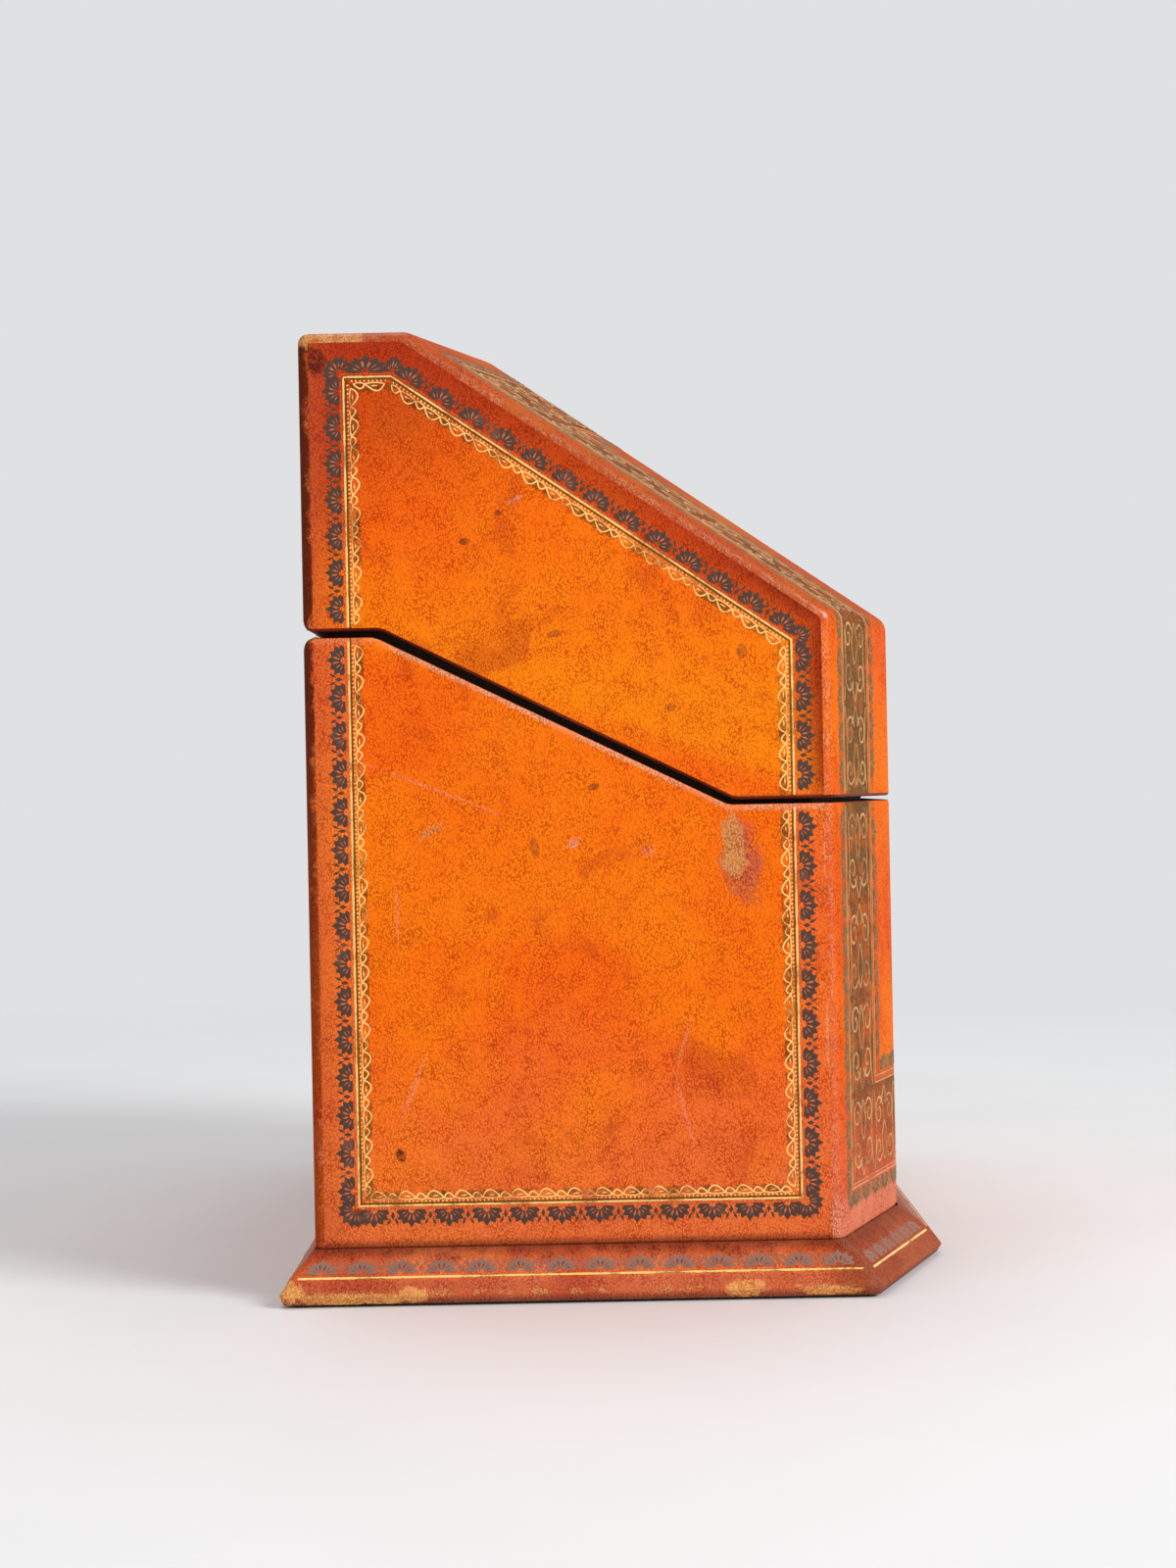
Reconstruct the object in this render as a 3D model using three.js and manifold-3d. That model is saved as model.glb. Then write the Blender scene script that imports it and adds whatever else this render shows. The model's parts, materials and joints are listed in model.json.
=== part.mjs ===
// A slope-fronted stationery box: a thin wooden carcass covered in leather, on a moulded plinth.
// Lengths are in millimetres. +Z is up and the front faces -Y. The origin is under the middle of the plinth.
// Depths are measured forward from the back face of the body, and heights up from the table.
import * as THREE from "three";
import { mergeVertices } from "three/addons/utils/BufferGeometryUtils.js";
import Module from "manifold-3d";

const wasm = await Module();
wasm.setup();

// Outside of the body, over the leather
const BOX_WIDTH = 230;
const SIDE_DEPTH = 120;
const FRONT_REACH = 18; // the middle of the front stands this far ahead of the front side edges
const CANT_WIDTH = 48; // each slanted front face, measured across the box
const FOLD_RADIUS = 25; // rounding of the upright fold between a slanted face and the middle face
const TOP_HEIGHT = 220;
const TOP_FLAT = 24.4;
const FRONT_EDGE_HEIGHT = 154.4; // where the slope meets the upright front
const EDGE_RADIUS = 2.4;
const BEND_RADIUS = 4;

// Parting line between the box and its lid, seen from the side
const PART_BACK_HEIGHT = 150.7;
const PART_BACK_FLAT = 16.3;
const PART_FRONT_HEIGHT = 111.2;
const PART_FRONT_FLAT = 24.2;
const PART_BEND_RADIUS = 4;
const BACK_GAP = 1.4;
const FRONT_GAP = 1;
const SLOPE_SHIFT = 1.5; // the lid's two lower bends lie this far ahead of the box's
const NOTCH_RADIUS = 2.6; // rounding of both back edges where they meet at the hinges

// Layers of a wall, from the outside in
const LEATHER = 1.2;
const GLUE = 0.3;
const WALL = 5;
const LINING = 0.7;

// Plinth
const PLINTH_HEIGHT = 12;
const PLINTH_OUT = 7.5; // how far it stands out at the back and sides
const PLINTH_FRONT_OUT = 10.3;
const BEVEL_OUT = 5.6; // foot of the upper bevel, at the back and sides
const BEVEL_FOOT_HEIGHT = 5.8;
const NOSE_HEIGHT = 2.6; // widest line of the moulding
const NOSE_TUCK = 0.9; // the moulding draws in by this under its nose
const PLINTH_LEATHER = 0.9;
const BAIZE = 0.7;
const BAIZE_INSET = 3; // from the nose to the edge of the baize

// Inside
const FLOOR = 4;
const DIVIDER = 2.6;
const DIVIDER_RISE = 16; // how far a divider stands above the parting line
const DIVIDER_SHOULDER = 12;
const DIVIDER_PLACE_SHARES = [0.26, 0.5, 0.74]; // of the side depth
const LIP_RISE = 2.6; // how far the box's lining stands above its rim, behind the parting line
const LIP_CLEARANCE = 0.6;

// Hinges
const HINGE_INSET = 45; // end of the box to the middle of a hinge
const HINGE_LENGTH = 30;
const LEAF = 1.2;
const KNUCKLE_GRIP = 0.3; // how far a knuckle sinks into the face of its leaf
const KNUCKLE_GAP = 0.3;
const PIN_RADIUS = 0.6;
const PIN_CLEARANCE = 0.08;
const SCREW_SPACING = 18;
const SCREW_HEAD_RADIUS = 1.3;
const SCREW_HEAD_HEIGHT = 0.8;
const SCREW_RADIUS = 0.7;
const SCREW_LENGTH = 9;
const SCREW_CLEARANCE = 0.15;

// How finely curves are cut, and how far a cutting solid runs past what it cuts
const ARC_STEPS = 4;
const ROUND_STEPS = 16;
const OVERRUN = 60;

// Sizes that follow from those above
const HALF = BOX_WIDTH / 2;
const WOOD_OUT = LEATHER + GLUE; // depth of each layer's face below the outside of the leather
const WOOD_IN = WOOD_OUT + WALL;
const LINING_OUT = WOOD_IN + GLUE;
const LINING_IN = LINING_OUT + LINING;
const INSIDE = LINING_IN + GLUE;
const BACK_Y = (SIDE_DEPTH + FRONT_REACH + PLINTH_FRONT_OUT - PLINTH_OUT) / 2;
const MIDDLE_DEPTH = SIDE_DEPTH / 2;
const FLOOR_TOP = PLINTH_HEIGHT + FLOOR;
const FLOOR_LINING_TOP = FLOOR_TOP + LINING;
const SLOPE = FRONT_REACH / CANT_WIDTH; // of a slanted front face, in plan
const SLANT = Math.hypot(1, SLOPE); // depth that one unit of thickness takes on that face
const HINGE_HEIGHT = PART_BACK_HEIGHT + BACK_GAP / 2;
const HINGE_PLACE = HALF - HINGE_INSET;
const PART_DROP_DEPTH = SIDE_DEPTH - PART_FRONT_FLAT; // where the slope of the parting line ends
const PAST_FRONT = SIDE_DEPTH + FRONT_REACH + OVERRUN;
const ACROSS = [-HALF - OVERRUN, HALF + OVERRUN];

const finish = (color, roughness, metalness = 0) => ({ color, roughness, metalness });
const LEATHER_FINISH = finish(0xcf6316, 0.42);
const PLINTH_FINISH = finish(0x8f3a1c, 0.42);
const WOOD_FINISH = finish(0xb98d5c, 0.7);
const SILK_FINISH = finish(0x7a2f22, 0.65);
const CARD_FINISH = finish(0x84402a, 0.7);
const BAIZE_FINISH = finish(0x2f4a33, 0.95);
const BRASS_FINISH = finish(0xb8913f, 0.32, 1);

const root = new THREE.Group();

// A closed three.js geometry as a solid that can be cut and joined, with its faces turned outwards
function solid(geometry) {
  const bare = geometry.clone();
  bare.deleteAttribute("normal");
  bare.deleteAttribute("uv");
  const merged = mergeVertices(bare);
  const vertProperties = merged.attributes.position.array;
  const triVerts = new Uint32Array(merged.index.array);
  const made = new wasm.Manifold(new wasm.Mesh({ numProp: 3, vertProperties, triVerts }));
  if (made.volume() > 0) return made;
  return new wasm.Manifold(new wasm.Mesh({ numProp: 3, vertProperties, triVerts: triVerts.reverse() }));
}

// A finished solid as a named mesh of the model
function add(name, made, look) {
  const mesh = made.getMesh();
  const geometry = new THREE.BufferGeometry();
  geometry.setAttribute("position", new THREE.BufferAttribute(mesh.vertProperties, 3));
  geometry.setIndex(new THREE.BufferAttribute(mesh.triVerts, 1));
  const piece = new THREE.Mesh(geometry, new THREE.MeshStandardMaterial(look));
  piece.name = name;
  root.add(piece);
}

// A block between two positions across, two depths and two heights
function block([left, right], [back, front], [low, high]) {
  const box = new THREE.BoxGeometry(right - left, front - back, high - low);
  box.translate((left + right) / 2, BACK_Y - (back + front) / 2, (low + high) / 2);
  return solid(box);
}

// A skin stretched over rings of points, each point an [x, depth, height] and all rings alike in count.
// The section is the rings' shape as [across, up] pairs, for the caps at both ends. Without a section the
// last ring joins the first.
function skinned(rings, section) {
  const count = rings[0].length;
  const places = rings.flat().flatMap(([x, depth, height]) => [x, BACK_Y - depth, height]);
  const faces = [];
  const joined = section ? rings.length - 1 : rings.length;
  for (let i = 0; i < joined; i++)
    for (let j = 0; j < count; j++) {
      const step = (j + 1) % count;
      const ahead = ((i + 1) % rings.length) * count;
      faces.push(i * count + j, ahead + j, ahead + step, i * count + j, ahead + step, i * count + step);
    }
  if (section) {
    const cap = THREE.ShapeUtils.triangulateShape(section.map(([a, b]) => new THREE.Vector2(a, b)), []);
    const last = (rings.length - 1) * count;
    for (const [a, b, c] of cap) faces.push(a, b, c, last + a, last + c, last + b);
  }
  const geometry = new THREE.BufferGeometry();
  geometry.setAttribute("position", new THREE.Float32BufferAttribute(places, 3));
  geometry.setIndex(faces);
  return solid(geometry);
}

// The corners of an outline, each edge moved inwards except those kept. Corners are
// { depth, height, radius, follows } and run anticlockwise with depth to the right. One that follows moves
// forward with the bent front.
function inset(corners, distance, kept = []) {
  const edges = corners.map((corner, i) => {
    const next = corners[(i + 1) % corners.length];
    const along = new THREE.Vector2(next.depth - corner.depth, next.height - corner.height).normalize();
    const inward = new THREE.Vector2(-along.y, along.x);
    const from = new THREE.Vector2(corner.depth, corner.height);
    return { along, inward, from: kept.includes(i) ? from : from.addScaledVector(inward, distance) };
  });
  return corners.map((corner, i) => {
    const before = edges[(i + corners.length - 1) % corners.length];
    const after = edges[i];
    const between = after.from.clone().sub(before.from);
    const reach = between.dot(after.inward) / before.along.dot(after.inward);
    const met = before.from.clone().addScaledVector(before.along, reach);
    return { ...corner, depth: met.x, height: met.y };
  });
}

// An outline with its corners rounded: a corner whose radius is zero stays one point
function rounded(corners) {
  return corners.flatMap((corner, i) => {
    if (!corner.radius) return [corner];
    const here = new THREE.Vector2(corner.depth, corner.height);
    const toward = (other) => new THREE.Vector2(other.depth, other.height).sub(here).normalize();
    const a = toward(corners[(i + corners.length - 1) % corners.length]);
    const b = toward(corners[(i + 1) % corners.length]);
    const half = Math.acos(THREE.MathUtils.clamp(a.dot(b), -1, 1)) / 2;
    const centre = here.clone().addScaledVector(a.clone().add(b).normalize(), corner.radius / Math.sin(half));
    const start = here.clone().addScaledVector(a, corner.radius / Math.tan(half));
    const sweep = (Math.PI - 2 * half) * -Math.sign(a.cross(b));
    return Array.from({ length: ARC_STEPS + 1 }, (_, step) => {
      const point = start.clone().rotateAround(centre, (sweep * step) / ARC_STEPS);
      return { ...corner, depth: point.x, height: point.y };
    });
  });
}

// Outline of the whole closed box from the side, running on down past the table
const OUTLINE = [
  { depth: 0, height: -OVERRUN, radius: 0, follows: 0 },
  { depth: SIDE_DEPTH, height: -OVERRUN, radius: 0, follows: 1 },
  { depth: SIDE_DEPTH, height: FRONT_EDGE_HEIGHT, radius: BEND_RADIUS, follows: 1 },
  { depth: TOP_FLAT, height: TOP_HEIGHT, radius: BEND_RADIUS, follows: 1 },
  { depth: 0, height: TOP_HEIGHT, radius: EDGE_RADIUS, follows: 0 },
];

// That outline drawn in by a layer's depth. The extra draws it in further towards a rounded side edge.
function outlineAt(layer, extra = 0) {
  const corners = inset(OUTLINE, layer + extra).map((corner) => {
    const radius = corner.radius > layer + GLUE ? Math.max(corner.radius - layer - extra, GLUE) : 0;
    return { ...corner, radius };
  });
  return rounded(corners);
}

// The middle of the fold's rounding, the same for every layer
const FOLD_X = HALF - (FRONT_REACH + FOLD_RADIUS * (SLANT - 1)) / SLOPE;
const FOLD_DEPTH = SIDE_DEPTH + FRONT_REACH - FOLD_RADIUS;
const CANT_ANGLE = Math.atan(SLOPE);

// Depth of a layer's front face at a position across the box
function frontDepth(x, layer) {
  const out = Math.abs(x) - FOLD_X;
  const radius = FOLD_RADIUS - layer;
  if (out <= 0) return SIDE_DEPTH + FRONT_REACH - layer;
  if (out < radius * Math.sin(CANT_ANGLE)) return FOLD_DEPTH + Math.sqrt(radius ** 2 - out ** 2);
  return SIDE_DEPTH + (HALF - Math.abs(x)) * SLOPE - layer * SLANT;
}

// A ring of the body at a position across: the outline, with its front drawn forward to the bent front
function ringAt(x, layer, outline) {
  const forward = frontDepth(x, layer) - (SIDE_DEPTH - layer);
  return outline.map(({ depth, height, follows }) => [x, depth + follows * forward, height]);
}

const sectionOf = (ring) => ring.map(([, depth, height]) => [depth, height]);

// The solid inside one layer of the closed box
function body(layer) {
  const end = HALF - layer;
  const edge = Math.max(EDGE_RADIUS - layer, 0);
  const steps = edge > 0 ? ARC_STEPS : 0;
  const right = [];
  for (let i = ARC_STEPS; i >= 0; i--) {
    const angle = (CANT_ANGLE * (ARC_STEPS - i)) / ARC_STEPS;
    right.push({ x: FOLD_X + (FOLD_RADIUS - layer) * Math.sin(angle), extra: 0 });
  }
  for (let i = steps; i >= 0; i--) {
    const angle = steps ? ((Math.PI / 2) * i) / steps : 0;
    right.push({ x: end - edge * (1 - Math.cos(angle)), extra: edge * (1 - Math.sin(angle)) });
  }
  const left = right.map(({ x, extra }) => ({ x: -x, extra })).reverse();
  const rings = [...left, ...right].map(({ x, extra }) => ringAt(x, layer, outlineAt(layer, extra)));
  return skinned(rings, sectionOf(rings[0]));
}

// A bar right across the box with the given outline
function bar(corners) {
  const outline = rounded(corners);
  const rings = ACROSS.map((x) => outline.map(({ depth, height }) => [x, depth, height]));
  return skinned(rings, sectionOf(rings[0]));
}

// Everything under the box's rim, and everything over the lid's rim. The back edge of each can be rounded.
function underRim(layer, back, radius) {
  const corners = [
    { depth: back, height: -OVERRUN, radius: 0 },
    { depth: PAST_FRONT, height: -OVERRUN, radius: 0 },
    { depth: PAST_FRONT, height: PART_FRONT_HEIGHT, radius: 0 },
    { depth: PART_DROP_DEPTH, height: PART_FRONT_HEIGHT, radius: PART_BEND_RADIUS },
    { depth: PART_BACK_FLAT, height: PART_BACK_HEIGHT, radius: PART_BEND_RADIUS },
    { depth: back, height: PART_BACK_HEIGHT, radius },
  ];
  return bar(inset(corners, layer));
}

function overRim(layer, back, radius) {
  const corners = [
    { depth: back, height: PART_BACK_HEIGHT + BACK_GAP, radius },
    { depth: PART_BACK_FLAT + SLOPE_SHIFT, height: PART_BACK_HEIGHT + BACK_GAP, radius: PART_BEND_RADIUS },
    { depth: PART_DROP_DEPTH + SLOPE_SHIFT, height: PART_FRONT_HEIGHT + FRONT_GAP, radius: PART_BEND_RADIUS },
    { depth: PAST_FRONT, height: PART_FRONT_HEIGHT + FRONT_GAP, radius: 0 },
    { depth: PAST_FRONT, height: TOP_HEIGHT + OVERRUN, radius: 0 },
    { depth: back, height: TOP_HEIGHT + OVERRUN, radius: 0 },
  ];
  return bar(inset(corners, layer));
}

const OUTSIDE = body(0);
const UNDER_LEATHER = body(LEATHER);
const WOOD_OUTSIDE = body(WOOD_OUT);
const WOOD_INSIDE = body(WOOD_IN);
const LINING_OUTSIDE = body(LINING_OUT);
const LINING_INSIDE = body(LINING_IN);
const ROOM = body(INSIDE);

const BETWEEN_SIDES = [-HALF + LINING_OUT, HALF - LINING_OUT];
const THROUGH = [-OVERRUN, PAST_FRONT];
const AT_BACK = [-OVERRUN, MIDDLE_DEPTH];
const AT_FRONT = [MIDDLE_DEPTH, PAST_FRONT];
const UPWARD = [PLINTH_HEIGHT, TOP_HEIGHT + OVERRUN];

// Where the boards of the front meet, across the box
const FOLD_JOINT = FOLD_X + FOLD_RADIUS * Math.sin(CANT_ANGLE / 2);
const FRONT_SPANS = {
  left: [-HALF + LINING_OUT, -FOLD_JOINT],
  centre: [-FOLD_JOINT, FOLD_JOINT],
  right: [FOLD_JOINT, HALF - LINING_OUT],
};
const SIDE_SPANS = {
  left: [-HALF - OVERRUN, -HALF + WOOD_IN],
  right: [HALF - WOOD_IN, HALF + OVERRUN],
};
const SIGNS = { left: -1, right: 1 };

// The region of one side panel's leather: its flat face, narrowing inwards over the rim by a mitre
function sidePanelRegion(sign, grown) {
  const sharp = (layer) => inset(OUTLINE, layer - grown);
  const rings = [
    ringAt(HALF - WOOD_IN, WOOD_IN - grown, sharp(WOOD_IN)),
    ringAt(HALF, EDGE_RADIUS - grown, sharp(EDGE_RADIUS)),
    ringAt(HALF, EDGE_RADIUS - grown, sharp(EDGE_RADIUS)).map(([x, ...rest]) => [x + OVERRUN, ...rest]),
  ];
  const onSide = rings.map((ring) => ring.map(([x, depth, height]) => [sign * x, depth, height]));
  return skinned(onSide, sectionOf(rings[0]));
}

// Hinge parts turn about a line along X at the back face
function alongHinge(geometry, x) {
  geometry.rotateZ(-Math.PI / 2);
  geometry.translate(x, BACK_Y, HINGE_HEIGHT);
  return geometry;
}

function barrel(x, length, radius, bore = 0) {
  const points = [
    [bore, -length / 2],
    [radius, -length / 2],
    [radius, length / 2],
    [bore, length / 2],
  ];
  if (bore) points.push(points[0]);
  const profile = points.map(([r, along]) => new THREE.Vector2(r, along));
  return solid(alongHinge(new THREE.LatheGeometry(profile, ROUND_STEPS), x));
}

// A countersunk screw, or the hole for it, running down from its head's face at the origin
function screwShape(clearance) {
  const head = SCREW_HEAD_RADIUS + clearance;
  const shank = SCREW_RADIUS + clearance;
  const profile = [
    [0, -SCREW_LENGTH - clearance],
    [shank, -SCREW_LENGTH + SCREW_RADIUS - clearance],
    [shank, -SCREW_HEAD_HEIGHT],
    [head, 0],
    [0, 0],
  ];
  if (clearance) profile.splice(4, 1, [head, LEAF], [0, LEAF]);
  return new THREE.LatheGeometry(profile.map(([r, h]) => new THREE.Vector2(r, h)), ROUND_STEPS / 2);
}

const BORE_RADIUS = (PIN_RADIUS + PIN_CLEARANCE) / Math.cos(Math.PI / ROUND_STEPS);
const KNUCKLE_LENGTH = (HINGE_LENGTH - 2 * KNUCKLE_GAP) / 3;
const KNUCKLE_PITCH = KNUCKLE_LENGTH + KNUCKLE_GAP;
const LEAF_FACE = WOOD_OUT + BACK_GAP / 2 - LEAF; // from the hinge line to the near face of a leaf
const LEAF_REACH = WOOD_IN - 2 * GLUE;
const KNUCKLE_RADIUS = LEAF_FACE + KNUCKLE_GRIP;
const SCREW_DEPTH = (WOOD_OUT + WOOD_IN) / 2;

// The screws of one leaf. Up is 1 for the lid's leaf and -1 for the box's.
function screwsOf(centre, up, clearance) {
  return [-1, 1].map((end) => {
    const screw = screwShape(clearance);
    screw.rotateX((-up * Math.PI) / 2);
    const across = centre + (end * SCREW_SPACING) / 2;
    screw.translate(across, BACK_Y - SCREW_DEPTH, HINGE_HEIGHT + up * LEAF_FACE);
    return solid(screw);
  });
}

// One leaf with its knuckles: the box's leaf has the outer two, the lid's has the middle one
function hingeLeaf(centre, up) {
  const own = up < 0 ? [-KNUCKLE_PITCH, KNUCKLE_PITCH] : [0];
  const other = up < 0 ? [0] : [-KNUCKLE_PITCH, KNUCKLE_PITCH];
  const heights = [LEAF_FACE, LEAF_FACE + LEAF].map((h) => HINGE_HEIGHT + up * h).sort((a, b) => a - b);
  const span = [centre - HINGE_LENGTH / 2, centre + HINGE_LENGTH / 2];
  let leaf = block(span, [0, LEAF_REACH], heights);
  for (const x of own) leaf = leaf.add(barrel(centre + x, KNUCKLE_LENGTH, KNUCKLE_RADIUS));
  for (const x of other)
    leaf = leaf.subtract(barrel(centre + x, KNUCKLE_LENGTH + 2 * KNUCKLE_GAP, KNUCKLE_RADIUS + KNUCKLE_GAP));
  leaf = leaf.subtract(barrel(centre, HINGE_LENGTH + OVERRUN, BORE_RADIUS));
  return screwsOf(centre, up, SCREW_CLEARANCE).reduce((made, hole) => made.subtract(hole), leaf);
}

// The seats of both hinges, cut through the leather that is turned in over the rim
function hingeSeats(up) {
  const heights = [GLUE, WOOD_OUT + BACK_GAP / 2].map((h) => HINGE_HEIGHT + up * h).sort((a, b) => a - b);
  const reach = HINGE_LENGTH / 2 + GLUE;
  const [left, right] = Object.values(SIGNS).map((sign) => {
    const centre = sign * HINGE_PLACE;
    return block([centre - reach, centre + reach], [-OVERRUN, WOOD_IN + GLUE], heights);
  });
  return left.add(right);
}

// The pilot holes of both hinges' screws
function pilotHoles(up) {
  const holes = Object.values(SIGNS).flatMap((sign) => screwsOf(sign * HINGE_PLACE, up, SCREW_CLEARANCE));
  return holes.reduce((made, hole) => made.add(hole));
}

// The side boards run the full depth, and the others butt against their inner faces over a line of glue
function addSideWalls(owner, wood) {
  for (const [side, span] of Object.entries(SIDE_SPANS))
    add(`${owner}_${side}_wall`, wood.intersect(block(span, THROUGH, UPWARD)), WOOD_FINISH);
}

function buildBoxCarcass() {
  const wood = WOOD_OUTSIDE.intersect(underRim(WOOD_OUT, -OVERRUN, 0)).subtract(pilotHoles(-1));
  const shell = wood.subtract(WOOD_INSIDE);
  addSideWalls("box", wood);
  add("box_back_wall", shell.intersect(block(BETWEEN_SIDES, AT_BACK, UPWARD)), WOOD_FINISH);
  for (const [place, span] of Object.entries(FRONT_SPANS))
    add(`box_front_${place}_wall`, shell.intersect(block(span, AT_FRONT, UPWARD)), WOOD_FINISH);
  const floorHeights = [PLINTH_HEIGHT, FLOOR_TOP];
  add("box_floor", LINING_OUTSIDE.intersect(block(ACROSS, THROUGH, floorHeights)), WOOD_FINISH);
}

function buildLidCarcass() {
  const wood = WOOD_OUTSIDE.intersect(overRim(WOOD_OUT, -OVERRUN, 0)).subtract(pilotHoles(1));
  const shell = wood.subtract(WOOD_INSIDE);
  const underTop = TOP_HEIGHT - WOOD_IN;
  const frontTop = inset(OUTLINE, WOOD_IN)[2].height;
  const ahead = [TOP_FLAT / 2, PAST_FRONT];
  addSideWalls("lid", wood);
  const back = block(BETWEEN_SIDES, [-OVERRUN, TOP_FLAT / 2], [PLINTH_HEIGHT, underTop - GLUE]);
  add("lid_back_wall", shell.intersect(back), WOOD_FINISH);
  add("lid_top_board", shell.intersect(block(BETWEEN_SIDES, THROUGH, [underTop, TOP_HEIGHT])), WOOD_FINISH);
  for (const [place, span] of Object.entries(FRONT_SPANS)) {
    const slope = block(span, ahead, [frontTop, underTop - GLUE]);
    const front = block(span, ahead, [PLINTH_HEIGHT, frontTop]);
    add(`lid_slope_${place}`, shell.intersect(slope), WOOD_FINISH);
    add(`lid_front_${place}`, shell.intersect(front), WOOD_FINISH);
  }
}

// Leather covers the outside and is turned in over the rim as far as the inner face of the wood
function leatherOver(outer, inner) {
  return OUTSIDE.intersect(outer).subtract(UNDER_LEATHER.intersect(inner)).subtract(WOOD_INSIDE);
}

function addSidePanels(owner, leather) {
  let rest = leather;
  for (const [side, sign] of Object.entries(SIGNS)) {
    add(`${owner}_${side}_leather`, leather.intersect(sidePanelRegion(sign, 0)), LEATHER_FINISH);
    rest = rest.subtract(sidePanelRegion(sign, GLUE));
  }
  return rest;
}

function buildBoxLeather() {
  const upright = block(ACROSS, THROUGH, UPWARD);
  const whole = leatherOver(underRim(0, 0, NOTCH_RADIUS), underRim(LEATHER, -OVERRUN, 0));
  const leather = whole.intersect(upright).subtract(hingeSeats(-1));
  const rest = addSidePanels("box", leather);
  add("box_back_leather", rest.intersect(block(ACROSS, AT_BACK, UPWARD)), LEATHER_FINISH);
  add("box_front_leather", rest.intersect(block(ACROSS, AT_FRONT, UPWARD)), LEATHER_FINISH);
}

function buildLidLeather() {
  const whole = leatherOver(overRim(0, 0, NOTCH_RADIUS), overRim(LEATHER, -OVERRUN, 0));
  const rest = addSidePanels("lid", whole.subtract(hingeSeats(1)));
  const backHeights = [0, TOP_HEIGHT - EDGE_RADIUS];
  const back = block(ACROSS, [-OVERRUN, WOOD_IN], backHeights);
  add("lid_back_leather", rest.intersect(back), LEATHER_FINISH);
  add("lid_top_leather", rest.subtract(back), LEATHER_FINISH);
}

// The box's lining stands up as a lip inside the lid, and the lid's own lining starts above it
function buildLinings() {
  const sheet = LINING_OUTSIDE.subtract(LINING_INSIDE);
  const boxSheet = sheet.intersect(underRim(-LIP_RISE, -OVERRUN, 0));
  const aboveFloor = block(ACROSS, THROUGH, [FLOOR_TOP, TOP_HEIGHT]);
  add("box_lining", boxSheet.intersect(aboveFloor), SILK_FINISH);
  const aboveLip = LIP_RISE - FRONT_GAP + LIP_CLEARANCE;
  add("lid_lining", sheet.intersect(overRim(aboveLip, -OVERRUN, 0)), SILK_FINISH);
  const floorHeights = [FLOOR_TOP, FLOOR_LINING_TOP];
  add("box_floor_lining", ROOM.intersect(block(ACROSS, THROUGH, floorHeights)), SILK_FINISH);
}

// Height of the box's rim on the sides at a depth
function rimHeight(depth) {
  const share = (depth - PART_BACK_FLAT) / (PART_DROP_DEPTH - PART_BACK_FLAT);
  const clamped = THREE.MathUtils.clamp(share, 0, 1);
  return THREE.MathUtils.lerp(PART_BACK_HEIGHT, PART_FRONT_HEIGHT, clamped);
}

function buildDividers() {
  const names = ["divider_back", "divider_middle", "divider_front"];
  const reach = HALF - INSIDE;
  names.forEach((name, i) => {
    const depth = DIVIDER_PLACE_SHARES[i] * SIDE_DEPTH;
    const top = rimHeight(depth) + DIVIDER_RISE;
    const shape = new THREE.Shape();
    shape.moveTo(-reach, FLOOR_LINING_TOP);
    shape.lineTo(reach, FLOOR_LINING_TOP);
    shape.absarc(reach - DIVIDER_SHOULDER, top - DIVIDER_SHOULDER, DIVIDER_SHOULDER, 0, Math.PI / 2);
    shape.absarc(DIVIDER_SHOULDER - reach, top - DIVIDER_SHOULDER, DIVIDER_SHOULDER, Math.PI / 2, Math.PI);
    const settings = { depth: DIVIDER, bevelEnabled: false, curveSegments: ROUND_STEPS / 2 };
    const plate = new THREE.ExtrudeGeometry(shape, settings);
    plate.rotateX(Math.PI / 2);
    plate.translate(0, BACK_Y - depth, 0);
    add(name, solid(plate), CARD_FINISH);
  });
}

// Corners of the plinth in plan for a distance out from the body at the back and sides. The front
// stands out further in a fixed ratio, so that each mitre is one flat plane.
const FRONT_RATIO = PLINTH_FRONT_OUT / PLINTH_OUT;

function plinthCorners(out) {
  const front = out * FRONT_RATIO;
  const cant = SIDE_DEPTH - out * SLOPE + front * SLANT;
  const fold = HALF - (FRONT_REACH - front * (SLANT - 1)) / SLOPE;
  const middle = SIDE_DEPTH + FRONT_REACH + front;
  return [
    [-HALF - out, -out],
    [-HALF - out, cant],
    [-fold, middle],
    [fold, middle],
    [HALF + out, cant],
    [HALF + out, -out],
  ];
}

// The moulding's section over its leather, from the table up. The first and last edges lie against the base.
const MOULDING = [
  { depth: 0, height: BAIZE },
  { depth: PLINTH_OUT - NOSE_TUCK, height: BAIZE },
  { depth: PLINTH_OUT, height: NOSE_HEIGHT },
  { depth: BEVEL_OUT, height: BEVEL_FOOT_HEIGHT },
  { depth: 0, height: PLINTH_HEIGHT },
];

function mouldingLine(layer) {
  return inset(MOULDING, layer, [0, MOULDING.length - 1]).map(({ depth, height }) => [depth, height]);
}

const PLINTH_NAMES = ["left", "front_left", "front_centre", "front_right", "right", "back"];

// One moulding of the plinth, between the mitres at two corners, drawn back a little from both
function moulding(first, second) {
  const section = mouldingLine(PLINTH_LEATHER + GLUE);
  const [from, to] = [first, second].map((corner) =>
    section.map(([out, height]) => [...plinthCorners(out)[corner], height]),
  );
  const along = new THREE.Vector2(to[0][0] - from[0][0], to[0][1] - from[0][1]).setLength(GLUE / 2);
  const drawn = (ring, sign) =>
    ring.map(([x, depth, height]) => [x + sign * along.x, depth + sign * along.y, height]);
  return skinned([drawn(from, 1), drawn(to, -1)], section);
}

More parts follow.
